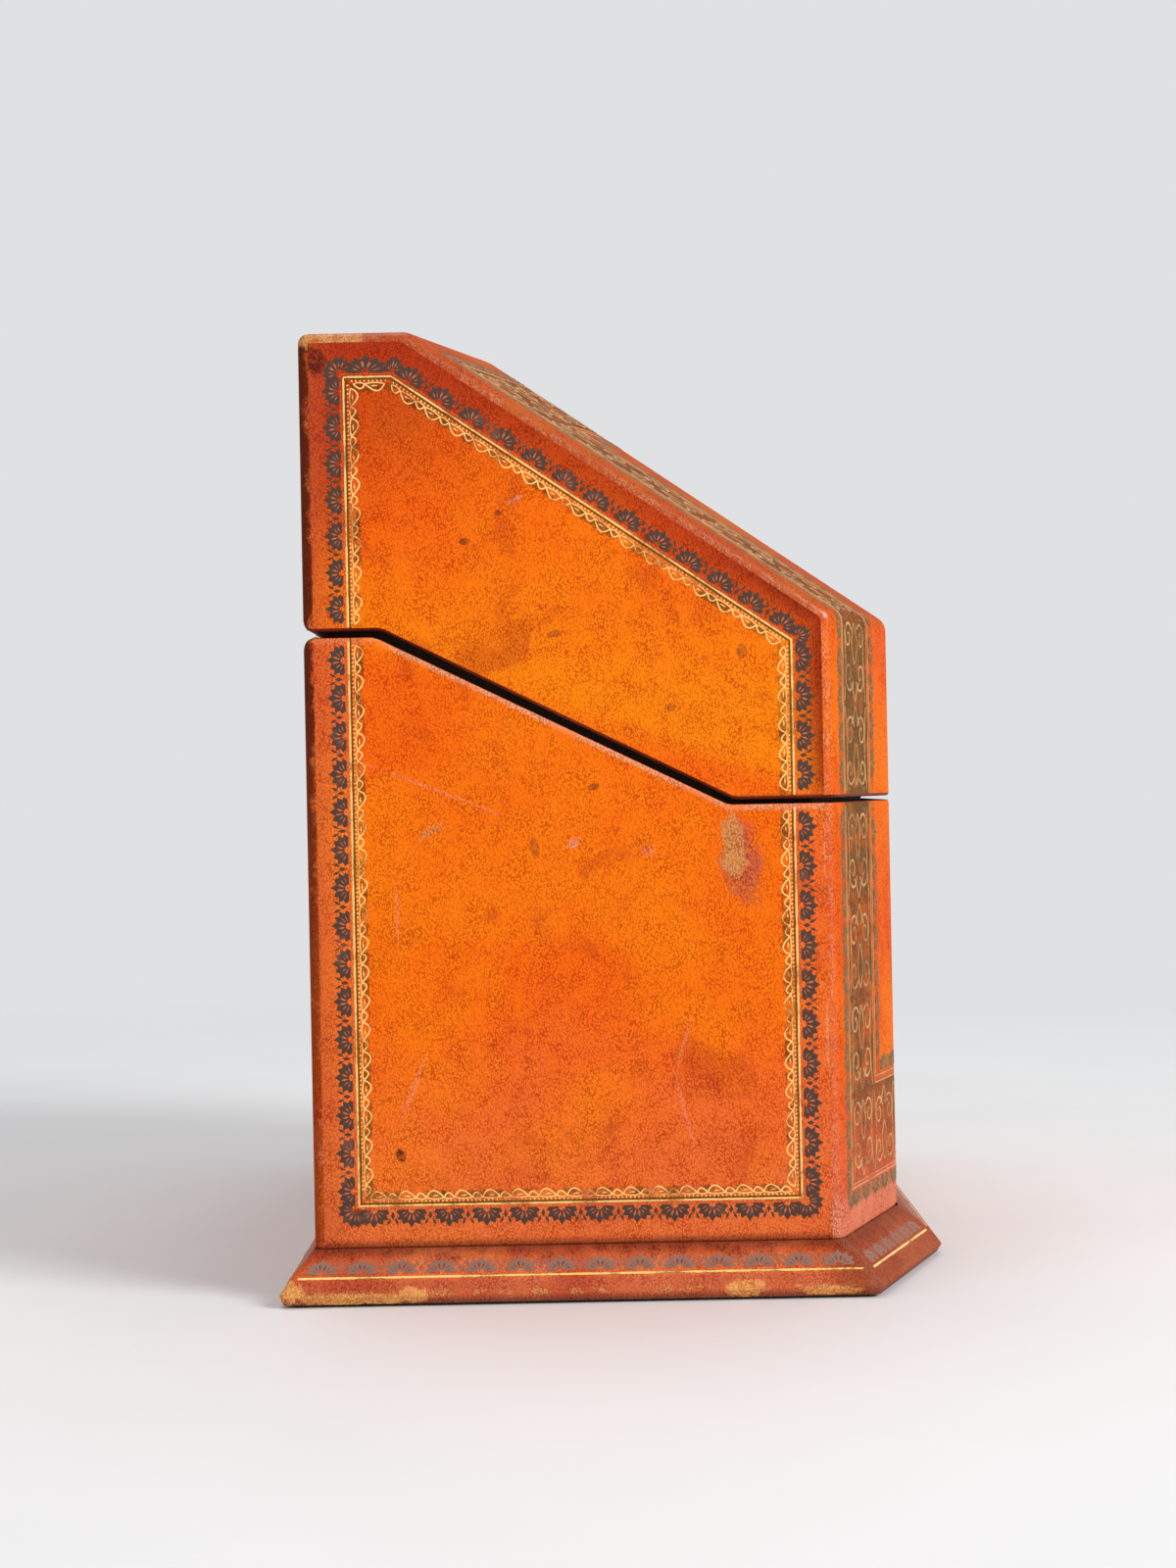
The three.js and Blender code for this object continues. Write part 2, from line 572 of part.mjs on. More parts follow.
function buildPlinth() {
  PLINTH_NAMES.forEach((name, i) => {
    add(`plinth_${name}_moulding`, moulding(i, (i + 1) % PLINTH_NAMES.length), WOOD_FINISH);
  });
  const outer = mouldingLine(0).slice(1);
  const inner = mouldingLine(PLINTH_LEATHER).slice(1).reverse();
  const rings = PLINTH_NAMES.map((_, corner) =>
    [...outer, ...inner].map(([out, height]) => [...plinthCorners(out)[corner], height]),
  );
  add("plinth_leather", skinned(rings), PLINTH_FINISH);
  const base = body(GLUE).intersect(block(ACROSS, THROUGH, [BAIZE, PLINTH_HEIGHT]));
  add("base_board", base, WOOD_FINISH);
  const outline = plinthCorners(PLINTH_OUT - BAIZE_INSET);
  const shape = new THREE.Shape(outline.map(([x, depth]) => new THREE.Vector2(x, BACK_Y - depth)));
  const baize = new THREE.ExtrudeGeometry(shape, { depth: BAIZE, bevelEnabled: false });
  add("base_baize", solid(baize), BAIZE_FINISH);
}

function buildHinges() {
  for (const [side, sign] of Object.entries(SIGNS)) {
    const centre = sign * HINGE_PLACE;
    for (const [owner, up] of [["box", -1], ["lid", 1]]) {
      add(`hinge_${side}_${owner}_leaf`, hingeLeaf(centre, up), BRASS_FINISH);
      const screws = screwsOf(centre, up, 0);
      screws.forEach((screw, i) => add(`hinge_${side}_${owner}_screw_${i + 1}`, screw, BRASS_FINISH));
    }
    add(`hinge_${side}_pin`, barrel(centre, HINGE_LENGTH, PIN_RADIUS), BRASS_FINISH);
  }
}

buildBoxCarcass();
buildBoxLeather();
buildLidCarcass();
buildLidLeather();
buildLinings();
buildDividers();
buildPlinth();
buildHinges();

export default root;
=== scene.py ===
import json
import math

import bmesh
import bpy
import numpy as np
from mathutils import Matrix, Vector

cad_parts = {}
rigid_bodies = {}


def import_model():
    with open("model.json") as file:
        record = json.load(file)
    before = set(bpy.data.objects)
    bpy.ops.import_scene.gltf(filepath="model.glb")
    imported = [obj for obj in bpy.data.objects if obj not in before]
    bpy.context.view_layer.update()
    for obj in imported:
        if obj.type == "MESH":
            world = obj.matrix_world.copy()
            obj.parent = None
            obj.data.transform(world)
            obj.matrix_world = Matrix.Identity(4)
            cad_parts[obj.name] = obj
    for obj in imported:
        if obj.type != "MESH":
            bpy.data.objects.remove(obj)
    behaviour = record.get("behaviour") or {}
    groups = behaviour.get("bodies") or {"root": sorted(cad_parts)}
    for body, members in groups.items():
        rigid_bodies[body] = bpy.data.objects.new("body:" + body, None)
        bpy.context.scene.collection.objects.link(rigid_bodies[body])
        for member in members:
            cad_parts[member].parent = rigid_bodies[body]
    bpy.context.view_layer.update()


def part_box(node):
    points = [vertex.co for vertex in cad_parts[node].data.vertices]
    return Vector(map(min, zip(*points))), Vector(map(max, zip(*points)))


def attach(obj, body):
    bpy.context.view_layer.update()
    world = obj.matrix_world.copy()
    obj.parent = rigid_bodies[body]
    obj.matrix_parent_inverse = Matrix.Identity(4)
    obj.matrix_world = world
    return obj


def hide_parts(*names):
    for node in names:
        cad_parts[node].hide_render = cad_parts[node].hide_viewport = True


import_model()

# Lengths are in millimetres, and become metres where a mesh is made. Depths are measured forward from the
# back face of the body, and heights up from the table.
MM = 0.001
BODIES = ("box", "lid")


def extent(node):
    """A CAD node's lowest and highest corner, in millimetres."""
    return [np.array(corner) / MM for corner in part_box(node)]


side_low, side_high = extent("lid_left_leather")
top_low, top_high = extent("lid_top_leather")
leaf_low, leaf_high = extent("hinge_right_box_leaf")

HALF = -side_low[0]
BACK_Y, TOP = top_high[1:]
FOOT, BOX_RIM_BACK = (corner[2] for corner in extent("box_left_leather"))
BOX_RIM_FRONT = extent("box_front_leather")[1][2]
LID_RIM_BACK = extent("lid_back_leather")[0][2]
LID_RIM_FRONT = side_low[2]
MIDDLE_DEPTH = BACK_Y - top_low[1]
EDGE = BACK_Y - side_high[1]
TURN_IN = HALF + side_high[0]

# Sizes of the body that its box of corners doesn't give
SIDE_DEPTH = 120.0
CANT_WIDTH = 48.0
FOLD_RADIUS = 25.0
TOP_FLAT = 24.4
FRONT_EDGE_HEIGHT = 154.4
BEND = 4.0
PART_BACK_FLAT = 16.3
PART_FRONT_FLAT = 24.2
PART_BEND = 4.0
SLOPE_SHIFT = 1.5
NOTCH = 2.6
LEATHER = 1.2
RIM_ROUNDING = 0.7
FOOT_ROUNDING = 0.8
RIM_LAYERS = [1.1, 1.7, NOTCH, 4.5, TURN_IN]

# Hinge seats, with a little room round each leaf
SIDE_ROOM = 0.3
DEPTH_ROOM = 0.03
HINGE_PLACE = (leaf_low[0] + leaf_high[0]) / 2
SEAT_HALF = (leaf_high[0] - leaf_low[0]) / 2 + SIDE_ROOM
SEAT_STEP = 0.05
BOX_SEAT = leaf_low[2] - DEPTH_ROOM
LID_SEAT = extent("hinge_right_lid_leaf")[1][2] + DEPTH_ROOM
SEAT_SKIN = 0.25

FRONT_REACH = MIDDLE_DEPTH - SIDE_DEPTH
CANT_SLOPE = FRONT_REACH / CANT_WIDTH
SLANT = math.hypot(1, CANT_SLOPE)
CANT_ANGLE = math.atan(CANT_SLOPE)
FOLD_X = HALF - (FRONT_REACH + FOLD_RADIUS * (SLANT - 1)) / CANT_SLOPE
FOLD_DEPTH = MIDDLE_DEPTH - FOLD_RADIUS
ROOF_ANGLE = math.atan2(TOP - FRONT_EDGE_HEIGHT, SIDE_DEPTH - TOP_FLAT)
BROW_ANGLE = math.pi / 2 - ROOF_ANGLE
ROOF_FACING = complex(math.sin(ROOF_ANGLE), math.cos(ROOF_ANGLE))
RIDGE = TOP_FLAT * ROOF_FACING.real + TOP * ROOF_FACING.imag

# Plinth section: distance out from the body, height. The front stands further out in a fixed ratio.
PLINTH = [(6.6, 0.7), (7.5, 2.6), (5.6, 5.8), (0.0, 12.0)]
PLINTH_SOFTENING = [0.8, 0.6]
PLINTH_LEATHER = 0.9
PLINTH_CORNER = 1.3
PLINTH_FRONT_OUT = 10.3
FRONT_RATIO = PLINTH_FRONT_OUT / PLINTH[1][0]

# Where the tooling lies: gilt lines from the edges of each panel, and the rest from the gilt line inwards
BACK_GILT = 10.4
FOOT_GILT = 9.7
FRONT_GILT = 9.2
ROOF_GILT = 10.3
CANT_GILT = 8.8
PANEL_FOOT = 22.4
HEAD_GILT = 10.2
ROLL_BASE = -0.95
ROLL_PITCH = 8.7
VINE_BASE = 1.6
VINE_PITCH = 6.5
BEAD_LINE = 0.9
BEAD_PITCH = 0.95
BAND_MIDDLE = 10.8
BAND_WIDTH = 20.0
BAND_END = 22.3
INNER_ROLL = 24.2
BEVEL_ROLL = 1.7
BEVEL_LINE = 0.75
BEVEL_LINE_END = 2.2
CUT_MARGIN = 0.9
BACK_CUT = (BOX_RIM_BACK - CUT_MARGIN, LID_RIM_BACK + CUT_MARGIN)
FRONT_CUT = (BOX_RIM_FRONT - CUT_MARGIN, LID_RIM_FRONT + CUT_MARGIN)

# Drawn lines: place and width, then the height of their crests
SIDE_LINE_WIDTH = 0.6
FRONT_LINES = [(-0.3, 0.45), (0.55, 0.3), (BAND_END - 0.6, 0.45), (BAND_END + 0.9, 0.45)]
BACK_LINES = [(0, 0.5), (1.0, 0.3)]
BEVEL_LINE_WIDTH = 0.75
LOW_CREST, CREST, HIGH_CREST = 0.08, 0.09, 0.1


# Shapes

def grid_faces(rows, count, closed_rows=False, closed_columns=False):
    """Faces between the rows of a grid of points."""
    i = np.arange(rows if closed_rows else rows - 1)[:, None]
    j = np.arange(count if closed_columns else count - 1)[None, :]
    ahead, beside = (i + 1) % rows, (j + 1) % count
    corners = [i * count + j, ahead * count + j, ahead * count + beside, i * count + beside]
    return np.stack(corners, axis=-1).reshape(-1, 4)


def joined(parts):
    """Parts (points, faces, more) as one. The faces of each count on from the points before it."""
    points, faces, *more = zip(*parts)
    starts = np.cumsum([0] + [len(some) for some in points])
    return (np.concatenate(points), np.concatenate([some + start for some, start in zip(faces, starts)]),
            *(np.concatenate(values) for values in more))


def softened(corners, radii, steps=6):
    """An open line of complex corners, each bend drawn as the arc of its radius that touches both sides."""
    line = [corners[:1]]
    for before, here, after, radius in zip(corners, corners[1:], corners[2:], radii):
        back = (before - here) / abs(before - here)
        ahead = (after - here) / abs(after - here)
        turn = np.angle(ahead / back)
        half = abs(turn) / 2
        centre = here + (back + ahead) / abs(back + ahead) * radius / math.sin(half)
        start = here + back * radius / math.tan(half)
        sweep = -np.sign(turn) * (math.pi - 2 * half)
        line.append(centre + (start - centre) * np.exp(1j * sweep * np.linspace(0, 1, steps + 1)))
    return np.concatenate(line + [corners[-1:]])


def rim_line(back, front, shift):
    corners = [-SIDE_DEPTH + back * 1j, PART_BACK_FLAT + shift + back * 1j,
               SIDE_DEPTH - PART_FRONT_FLAT + shift + front * 1j, 2 * SIDE_DEPTH + front * 1j]
    return softened(np.array(corners), [PART_BEND, PART_BEND])


BOX_LINE = rim_line(BOX_RIM_BACK, BOX_RIM_FRONT, 0)
LID_LINE = rim_line(LID_RIM_BACK, LID_RIM_FRONT, SLOPE_SHIFT)


def rim_height(x, depth, lift, lid, under=False):
    """Height of a rim: level, sloping and level again with softened bends, then the quarter circle
    NOTCH - sqrt(NOTCH^2 - (NOTCH - depth)^2) at the back edge, and flat in the seats of the hinges."""
    line, sign = (LID_LINE, 1) if lid else (BOX_LINE, -1)
    level = np.interp(depth, line.real, line.imag)
    short = np.clip(NOTCH - depth, 0, NOTCH)
    height = level + sign * (NOTCH - np.sqrt(NOTCH**2 - short**2) + lift)
    seated = (np.abs(np.abs(x) - HINGE_PLACE) < SEAT_HALF) & (depth < TURN_IN + SEAT_STEP)
    seat = (LID_SEAT if lid else BOX_SEAT) + (sign * SEAT_SKIN if under else 0)
    cut = np.maximum(height, seat) if lid else np.minimum(height, seat)
    return np.where(seated, cut, height)


def front_depth(x, layer=0.0):
    """Depth of the bent front under a layer: flat in the middle, a circle's arc at each fold, then a straight
    slant of CANT_SLOPE to the side edge."""
    out = np.abs(x) - FOLD_X
    radius = FOLD_RADIUS - layer
    arc = FOLD_DEPTH + np.sqrt(np.maximum(radius**2 - out**2, 0))
    cant = SIDE_DEPTH + (HALF - np.abs(x)) * CANT_SLOPE - layer * SLANT
    bent = np.where(out < radius * math.sin(CANT_ANGLE), arc, cant)
    return np.where(out <= 0, MIDDLE_DEPTH - layer, bent)


def columns(layer):
    """Positions across the body under a layer, and how far each is drawn in towards the rounded side edge:
    along that edge x is end - r(1 - cos a) and the draw-in r(1 - sin a)."""
    end, edge = HALF - layer, max(EDGE - layer, 0)
    fold = FOLD_X + (FOLD_RADIUS - layer) * np.sin(CANT_ANGLE * np.linspace(0, 1, 11))
    inner, outer = HINGE_PLACE - SEAT_HALF, HINGE_PLACE + SEAT_HALF
    plain = end - edge - outer
    turn = math.pi / 2 * np.linspace(1, 0, 9)
    x = np.concatenate([
        np.linspace(0, inner - SEAT_STEP, 7),
        [inner + SEAT_STEP, (inner + FOLD_X) / 2],
        fold,
        [(fold[-1] + outer) / 2, outer - SEAT_STEP],
        outer + plain * np.array([0, 0.25, 0.5, 0.75, 0.985]) + [SEAT_STEP, 0, 0, 0, 0],
        end - edge * (1 - np.cos(turn)),
    ])
    drawn = np.concatenate([np.zeros(len(x) - len(turn)), edge * (1 - np.sin(turn))])
    return np.concatenate([-x[:0:-1], x]), np.concatenate([drawn[:0:-1], drawn])


# Shares of the way along the parts of an outline
UPRIGHT = np.array([0, 0.006, 0.08, 0.2, 0.35, 0.5, 0.65, 0.8, 0.92, 0.994, 1])
QUARTER = np.linspace(0, 1, 7)
FLAT = np.concatenate([[0, 0.02], np.linspace(0.08, 1, 14)])
ROOF = np.concatenate([[0, 0.004], np.linspace(0.015, 0.985, 63), [0.996, 1]])
TOP_START = len(UPRIGHT) + len(QUARTER) - 1
ROOF_PART = slice(TOP_START, TOP_START + 1 + len(FLAT) + 2 * len(QUARTER) + len(ROOF))
SHARPEST_BEND = 0.3


def roof_profile(inset, low_back, low_front):
    """The lid's outline at each inset from its rounded edges: up the back, over the edge's arc, along the top,
    round the first bend, down the slope, round the brow and down the front. Returns depths, heights and how
    much each point follows the bent front."""
    def straight(ends, levels, shares, follow):
        return *(start[:, None] + (end - start)[:, None] * shares for start, end in (ends, levels)), follow

    def arc(depth, height, radius, angles, follow):
        return (depth[:, None] + radius[:, None] * np.cos(angles),
                height[:, None] + radius[:, None] * np.sin(angles), follow)

    edge, bend = np.maximum(EDGE - inset, 0), np.maximum(BEND - inset, SHARPEST_BEND)
    high, sine, cosine = TOP - inset, math.sin(ROOF_ANGLE), math.cos(ROOF_ANGLE)
    shoulder = TOP_FLAT - (inset + bend) * math.tan(ROOF_ANGLE / 2)
    brow_height = FRONT_EDGE_HEIGHT - (inset + bend) * math.tan(BROW_ANGLE / 2)
    brow, front = SIDE_DEPTH - inset - bend, SIDE_DEPTH - inset
    parts = [
        straight((inset, inset), (low_back, high - edge), UPRIGHT, 0),
        arc(inset + edge, high - edge, edge, np.pi - np.pi / 2 * QUARTER, 0),
        straight((inset + edge, shoulder), (high, high), FLAT, FLAT),
        arc(shoulder, high - bend, bend, np.pi / 2 - ROOF_ANGLE * QUARTER, 1),
        straight((shoulder + bend * sine, brow + bend * sine),
                 (high - bend * (1 - cosine), brow_height + bend * cosine), ROOF, 1),
        arc(brow, brow_height, bend, BROW_ANGLE * (1 - QUARTER), 1),
        straight((front, front), (brow_height, low_front), UPRIGHT, 1),
    ]
    return [np.concatenate([part[i] + 0 * part[0] for part in parts], axis=1) for i in range(3)]


edge_depths = roof_profile(*[np.array([EDGE])] * 3)[0]
SIDE_SHARES = (edge_depths[0, ROOF_PART] - EDGE) / (SIDE_DEPTH - 2 * EDGE)


def placed(x, depth, height):
    return np.stack(np.broadcast_arrays(x, BACK_Y - depth, height), axis=-1)


def loop(layer, lift=0.0, lid=False, under=False, share=1.0, low=0.0):
    """A closed line round the body under a layer: forward along the left side, across the front, back along
    the right side and across the back, at a share of the way from a low level up to the rim."""
    x, drawn = columns(layer)
    front, back = front_depth(x, layer) - drawn, layer + drawn
    side = back[0] + (front[0] - back[0]) * SIDE_SHARES
    across = np.concatenate([0 * side + x[0], x, 0 * side + x[-1], x[::-1]])
    depth = np.concatenate([side, front, side[::-1], back[::-1]])
    rim = rim_height(across, depth, lift, lid, under)
    return placed(across, depth, low + (rim - low) * share)


def quarter_turn(radius):
    """Pairs of a layer and a lift along a quarter circle, from the wall's face to the rim's."""
    angle = np.linspace(0, np.pi / 2, 6)
    return list(zip(radius * (1 - np.cos(angle)), radius * (1 - np.sin(angle))))


def rim_strip(lid):
    """The rim's face: rounded from the wall, level as far as the turned-in leather goes, then back under it."""
    return [loop(layer, lift, lid) for layer, lift in quarter_turn(RIM_ROUNDING)] + [
        loop(layer, 0, lid) for layer in RIM_LAYERS] + [
        loop(layer, LEATHER, lid, under=True) for layer in (TURN_IN, LEATHER)]


def roof_sheet(layer, lift, under):
    """The lid's outside under a layer as three grids: the sheet over back, top, slope and front, and the two
    sides between its end lines and the rim."""
    x, drawn = columns(layer)
    inset = layer + drawn
    low_back = rim_height(x, inset, lift, True, under)
    low_front = rim_height(x, front_depth(x, layer) - drawn, lift, True, under)
    depth, height, follow = roof_profile(inset, low_back, low_front)
    ahead = front_depth(x, layer) - (SIDE_DEPTH - layer)
    sheet = placed(x[:, None], depth + follow * ahead[:, None], height)
    depth, height = depth[0, ROOF_PART], height[0, ROOF_PART]
    low = rim_height(HALF, depth, lift, True)
    rows = low + (height - low) * UPRIGHT[:, None]
    return sheet, [placed(end, depth[None, :], rows) for end in (x[0], x[-1])]


def plan_corners(out):
    """The plinth's six corners in plan at a distance out, as complex x + i depth."""
    ahead = out * FRONT_RATIO
    cant = SIDE_DEPTH - out * CANT_SLOPE + ahead * SLANT
    fold = HALF - (FRONT_REACH - ahead * (SLANT - 1)) / CANT_SLOPE
    right = [HALF + out - out * 1j, HALF + out + cant * 1j, fold + (MIDDLE_DEPTH + ahead) * 1j]
    return np.array(right + [-np.conj(corner) for corner in right[::-1]])


def plan_ring(out, height):
    corners = plan_corners(out)
    closed = np.concatenate([corners[-1:], corners, corners[:1]])
    ring = softened(closed, [PLINTH_CORNER] * 6, 5)[1:-1]
    return placed(ring.real, ring.imag, height)


def plinth_section():
    """Outer line of the moulding from the table up, then its inner line back down, one leather inside."""
    line = np.array([out + height * 1j for out, height in PLINTH])
    inward = 1j * np.diff(line) / abs(np.diff(line))
    mitre = (inward[:-1] + inward[1:]) / (1 + (inward[:-1] * np.conj(inward[1:])).real)
    shift = np.concatenate([[1 / inward[0].real], mitre, [1j / inward[-1].imag]])
    inner = line + PLINTH_LEATHER * shift
    return np.concatenate([softened(line, PLINTH_SOFTENING, 5), inner[::-1]])


# Surfaces that tooling is laid on. Each takes complex places on the surface and heights above the leather.

def on_side(sign):
    return lambda at, lift: placed(sign * (HALF + lift) + 0 * at.real, at.real, at.imag)


def on_back(at, lift):
    return placed(at.real, 0 * at.real - lift, at.imag)


ACROSS = np.linspace(-HALF, HALF, 1201)
GIRTHS = np.concatenate([[0], np.cumsum(np.hypot(np.diff(ACROSS), np.diff(front_depth(ACROSS))))])
GIRTH = GIRTHS[-1]
BEND_STEPS = 24
CLIMB = softened(np.array([
    SIDE_DEPTH, SIDE_DEPTH + FRONT_EDGE_HEIGHT * 1j, TOP_FLAT + TOP * 1j, TOP * 1j]), [BEND, BEND], BEND_STEPS)
CLIMBS = np.concatenate([[0], np.cumsum(abs(np.diff(CLIMB)))])
CLIMB_FACING = -1j * np.gradient(CLIMB) / abs(np.gradient(CLIMB))
SHOULDER = CLIMBS[BEND_STEPS + 2]


def on_front(at, lift):
    """Girth is measured along the bent front from the left side edge, and climb from the table up the front,
    over the brow, up the slope and over the top."""
    x = np.interp(at.real, GIRTHS, ACROSS)
    line, facing = (np.interp(at.imag, CLIMBS, values) for values in (CLIMB, CLIMB_FACING))
    ahead = (front_depth(x) - SIDE_DEPTH) * np.clip(line.real / (TOP_FLAT - 1), 0, 1)
    swing = np.clip((np.abs(x) - FOLD_X) / FOLD_RADIUS, 0, math.sin(CANT_ANGLE)) * np.sign(x)
    out = lift * facing.real
    return placed(x + out * swing, line.real + ahead + out * np.sqrt(1 - swing**2),
                  line.imag + lift * facing.imag)


def on_bevel(side):
    """Along one side of the plinth from its middle, and up its bevel from the bevel's foot."""
    foot_out, foot_height = PLINTH[2]
    start, end = np.roll(plan_corners(foot_out), -side)[:2]
    along = (end - start) / abs(end - start)
    run = foot_out * (FRONT_RATIO if 1 <= side <= 3 else 1)
    rise = PLINTH[3][1] - foot_height
    length = math.hypot(run, rise)

    def place(at, lift):
        inward = (at.imag * run - lift * rise) / length
        plan = (start + end) / 2 + along * at.real + 1j * along * inward
        return placed(plan.real, plan.imag, foot_height + (at.imag * rise + lift * run) / length)
    return place, abs(end - start)


# Tools of the binder. A shape is (complex points, faces, heights above the leather, crests).

SUNK = -0.03

# A face's corners the other way round, from the same first corner, so that it still splits along its rib
TURNED = [0, 3, 2, 1]


def ribbon(path, width, crest):
    """A band along complex points: both edges sunk under the leather and its middle line raised."""
    step = np.gradient(path)
    aside = 1j * step / abs(step) * np.broadcast_to(width, path.shape) / 2
    lift = np.repeat([SUNK, crest, SUNK], len(path))
    return (np.concatenate([path + aside, path, path - aside]), grid_faces(3, len(path)), lift,
            np.clip(lift / crest, 0, 1))


def leaf(base, tip, half_width, crest=CREST, swell=0.55):
    """A pointed leaf of two faces that meet along a raised rib."""
    middle = base + (tip - base) * swell
    aside = 1j * (tip - base) / abs(tip - base) * half_width
    points = np.array([base, middle - aside, tip, middle + aside, middle])
    return (points, np.array([[4, 0, 1, 2], [4, 2, 3, 0]]),
            np.array([SUNK, SUNK, SUNK, SUNK, crest]), np.array([0.3, 0, 0.2, 0, 1]))


def palmette():
    """A fan of seven pointed lobes on a straight foot: at each angle the outline stands at its own radius,
    and rings at shares of that radius carry a crest on the lobes and a low vein between them."""
    angles = np.array([0, 12, 23, 34, 46, 59, 74])
    radii = np.array([3.2, 3.85, 3.3, 4.3, 3.4, 4.05, 3.2])
    veins = np.array([1, 1, 0.1, 1, 0.15, 1, 0])
    angles = np.radians(np.concatenate([angles, [90], 180 - angles[::-1]]))
    radii = np.concatenate([radii, [4.25], radii[::-1]])
    veins = np.concatenate([veins, [1], veins[::-1]])
    shares = np.array([0.12, 0.5, 0.8, 1])[:, None]
    points = (shares * radii * np.exp(1j * angles)).ravel()
    lift = np.array([SUNK, 0.05, 0.04, SUNK])[:, None] + np.array([0, 0.06, 0.07, 0])[:, None] * veins
    crest = np.array([0.6, 0, 0.35, 1])[:, None] + np.array([0.4, 1, 0.65, 0])[:, None] * veins
    return (points.real + 1j * points.imag * FAN_HEIGHT / radii.max(), grid_faces(4, len(angles)),
            lift.ravel(), crest.ravel())


def trefoil():
    """The small sprig between two fans: a bud on the foot and a leaf that leans over each fan."""
    return joined([leaf(0j, 2.6j, 0.75, LOW_CREST), *(
        leaf(side * 0.25 + 1.5j, side * 1.5 + 3.9j, 0.5, LOW_CREST) for side in (-1, 1))])


def vine():
    """One cell of the gilt vine: a pointed leaf and a smaller one after it, each of two outlines that part at
    its foot as b sin(pi s^0.75) and meet at its tip, with a rib in the first. They bulge inwards."""
    share = np.linspace(0, 1, 8)
    parts = [leaf(-2.3 - 0.35j, 0.3 - 0.5j, 0.26, 0.06)]
    for start, end, belly in ((-3.1, 1.0, 1.6), (1.0, 3.4, 1.05)):
        along = start + (end - start) * share
        parts.append(ribbon(along + 0.3j * np.sin(np.pi * share), 0.4, 0.07))
        parts.append(ribbon(along - 1j * belly * np.sin(np.pi * share**0.75), 0.5, 0.07))
    return joined(parts)


def bead():
    return leaf(-0.14 - 0.4j, 0.14 + 0.4j, 0.3, swell=0.5)


def coil(centre, radius, turns, start, hand):
    """A spiral that closes in on its centre: the radius falls evenly to a sixth as the angle grows."""
    share = np.linspace(0, 1, 22)
    angle = math.radians(start) + hand * 2 * np.pi * turns * share
    path = centre + radius * (1 - 0.84 * share) * np.exp(1j * angle)
    return ribbon(path, 0.75 * (1.15 - 0.6 * share), CREST)


def both_halves(half, *middle):
    """Shapes with their mirror images, whose faces are turned back to look the same way."""
    return joined([*middle, *half, *(
        (-np.conj(points), faces[:, TURNED], *more) for points, faces, *more in half)])


def arabesque():
    """A 20 mm square of scrollwork, alike on both halves: two pairs of coils on a stem, as ribbons."""
    share = np.linspace(0, 1, 9)
    swing = np.sin(np.pi * share)
    return both_halves([
        coil(5.0 - 3.6j, 3.9, 1.35, 200, 1), coil(5.4 + 5.0j, 3.4, 1.3, 150, -1),
        ribbon(0.4 - 9.4j + 3.4 * share**1.5 + 4.2j * share, 0.7, CREST),
        ribbon(0.3 - 1.0j + 1.9 * swing + 9.2j * share, 0.6, CREST),
        ribbon(9.3 - 9.4j - 1.5 * swing + 18.8j * share, 0.55, LOW_CREST)])


def acanthus():
    """The leaves of the same square: a fan on the stem and a spray in each outer corner and coil."""
    return both_halves([leaf(*ends) for ends in (
        (0.6 + 0.6j, 3.0 + 4.2j, 0.75), (0.3 - 7.5j, 2.6 - 5.2j, 0.6), (6.6 + 0.2j, 9.0 + 2.0j, 0.7),
        (7.6 - 8.2j, 5.0 - 8.9j, 0.6), (8.9 - 6.0j, 8.4 - 2.6j, 0.6), (4.2 + 9.3j, 8.6 + 8.8j, 0.6),
        (4.4 - 3.2j, 5.8 - 4.4j, 0.8), (5.0 + 4.4j, 6.2 + 5.6j, 0.7), (0.4 - 2.2j, 2.4 + 0.2j, 0.6),
    )], leaf(3.2j, 8.9j, 0.9, HIGH_CREST))


FAN_HEIGHT = 4.4
FAN, SPRIG = palmette(), trefoil()


# Borders. A path runs with the part's middle on its left, so that outwards is on its right.

def crossing(first, second):
    """Where two lines meet. A line is (normal, offset): the places whose share along the normal is the
    offset."""
    (n, c), (m, d) = first, second
    turn = n.real * m.imag - n.imag * m.real
    return complex(c * m.imag - d * n.imag, n.real * d - m.real * c) / turn


def frame_lines(inward, cut_left, cut_right, *lines):
    """Two runs round a panel that the parting line crosses, that far inside its left, foot, right and upper
    lines: down the left, along the foot and up the right of the box, then up the right, along what is above
    and down the left of the lid."""
    left, foot, right, *over = [(normal, offset - inward) for normal, offset in lines]
    box = [(1j, cut_left[0]), left, foot, right, (1j, cut_right[0])]
    lid = [(1j, cut_right[1]), right, *over, left, (1j, cut_left[1])]
    return [np.array([crossing(a, b) for a, b in zip(run, run[1:])]) for run in (box, lid)]


def side_frame(inward):
    """The side's border, that far inside its gilt line, as depths + i heights."""
    return frame_lines(inward, BACK_CUT, FRONT_CUT, (-1, -BACK_GILT), (-1j, -FOOT - FOOT_GILT),
                       (1, SIDE_DEPTH - FRONT_GILT), (ROOF_FACING, RIDGE - ROOF_GILT), (1j, TOP - ROOF_GILT))


def front_frame(inward):
    """The front's border, that far inside its outer line, as girths + i climbs."""
    return frame_lines(inward, FRONT_CUT, FRONT_CUT, (-1, -CANT_GILT), (-1j, -PANEL_FOOT),
                       (1, GIRTH - CANT_GILT), (1j, SHOULDER - HEAD_GILT))


def back_frame(inward):
    """The back's border, that far inside its gilt line, as positions across + i heights."""
    across = HALF - BACK_GILT
    return frame_lines(inward, BACK_CUT, BACK_CUT, (-1, across), (-1j, -FOOT - FOOT_GILT), (1, across),
                       (1j, TOP - ROOF_GILT))


def followed(corners):
    """The same line with a point at least every millimetre."""
    parts = [a + (b - a) * np.linspace(0, 1, max(2, math.ceil(abs(b - a)) + 1))[:-1]
             for a, b in zip(corners, corners[1:])]
    return np.concatenate(parts + [corners[-1:]])


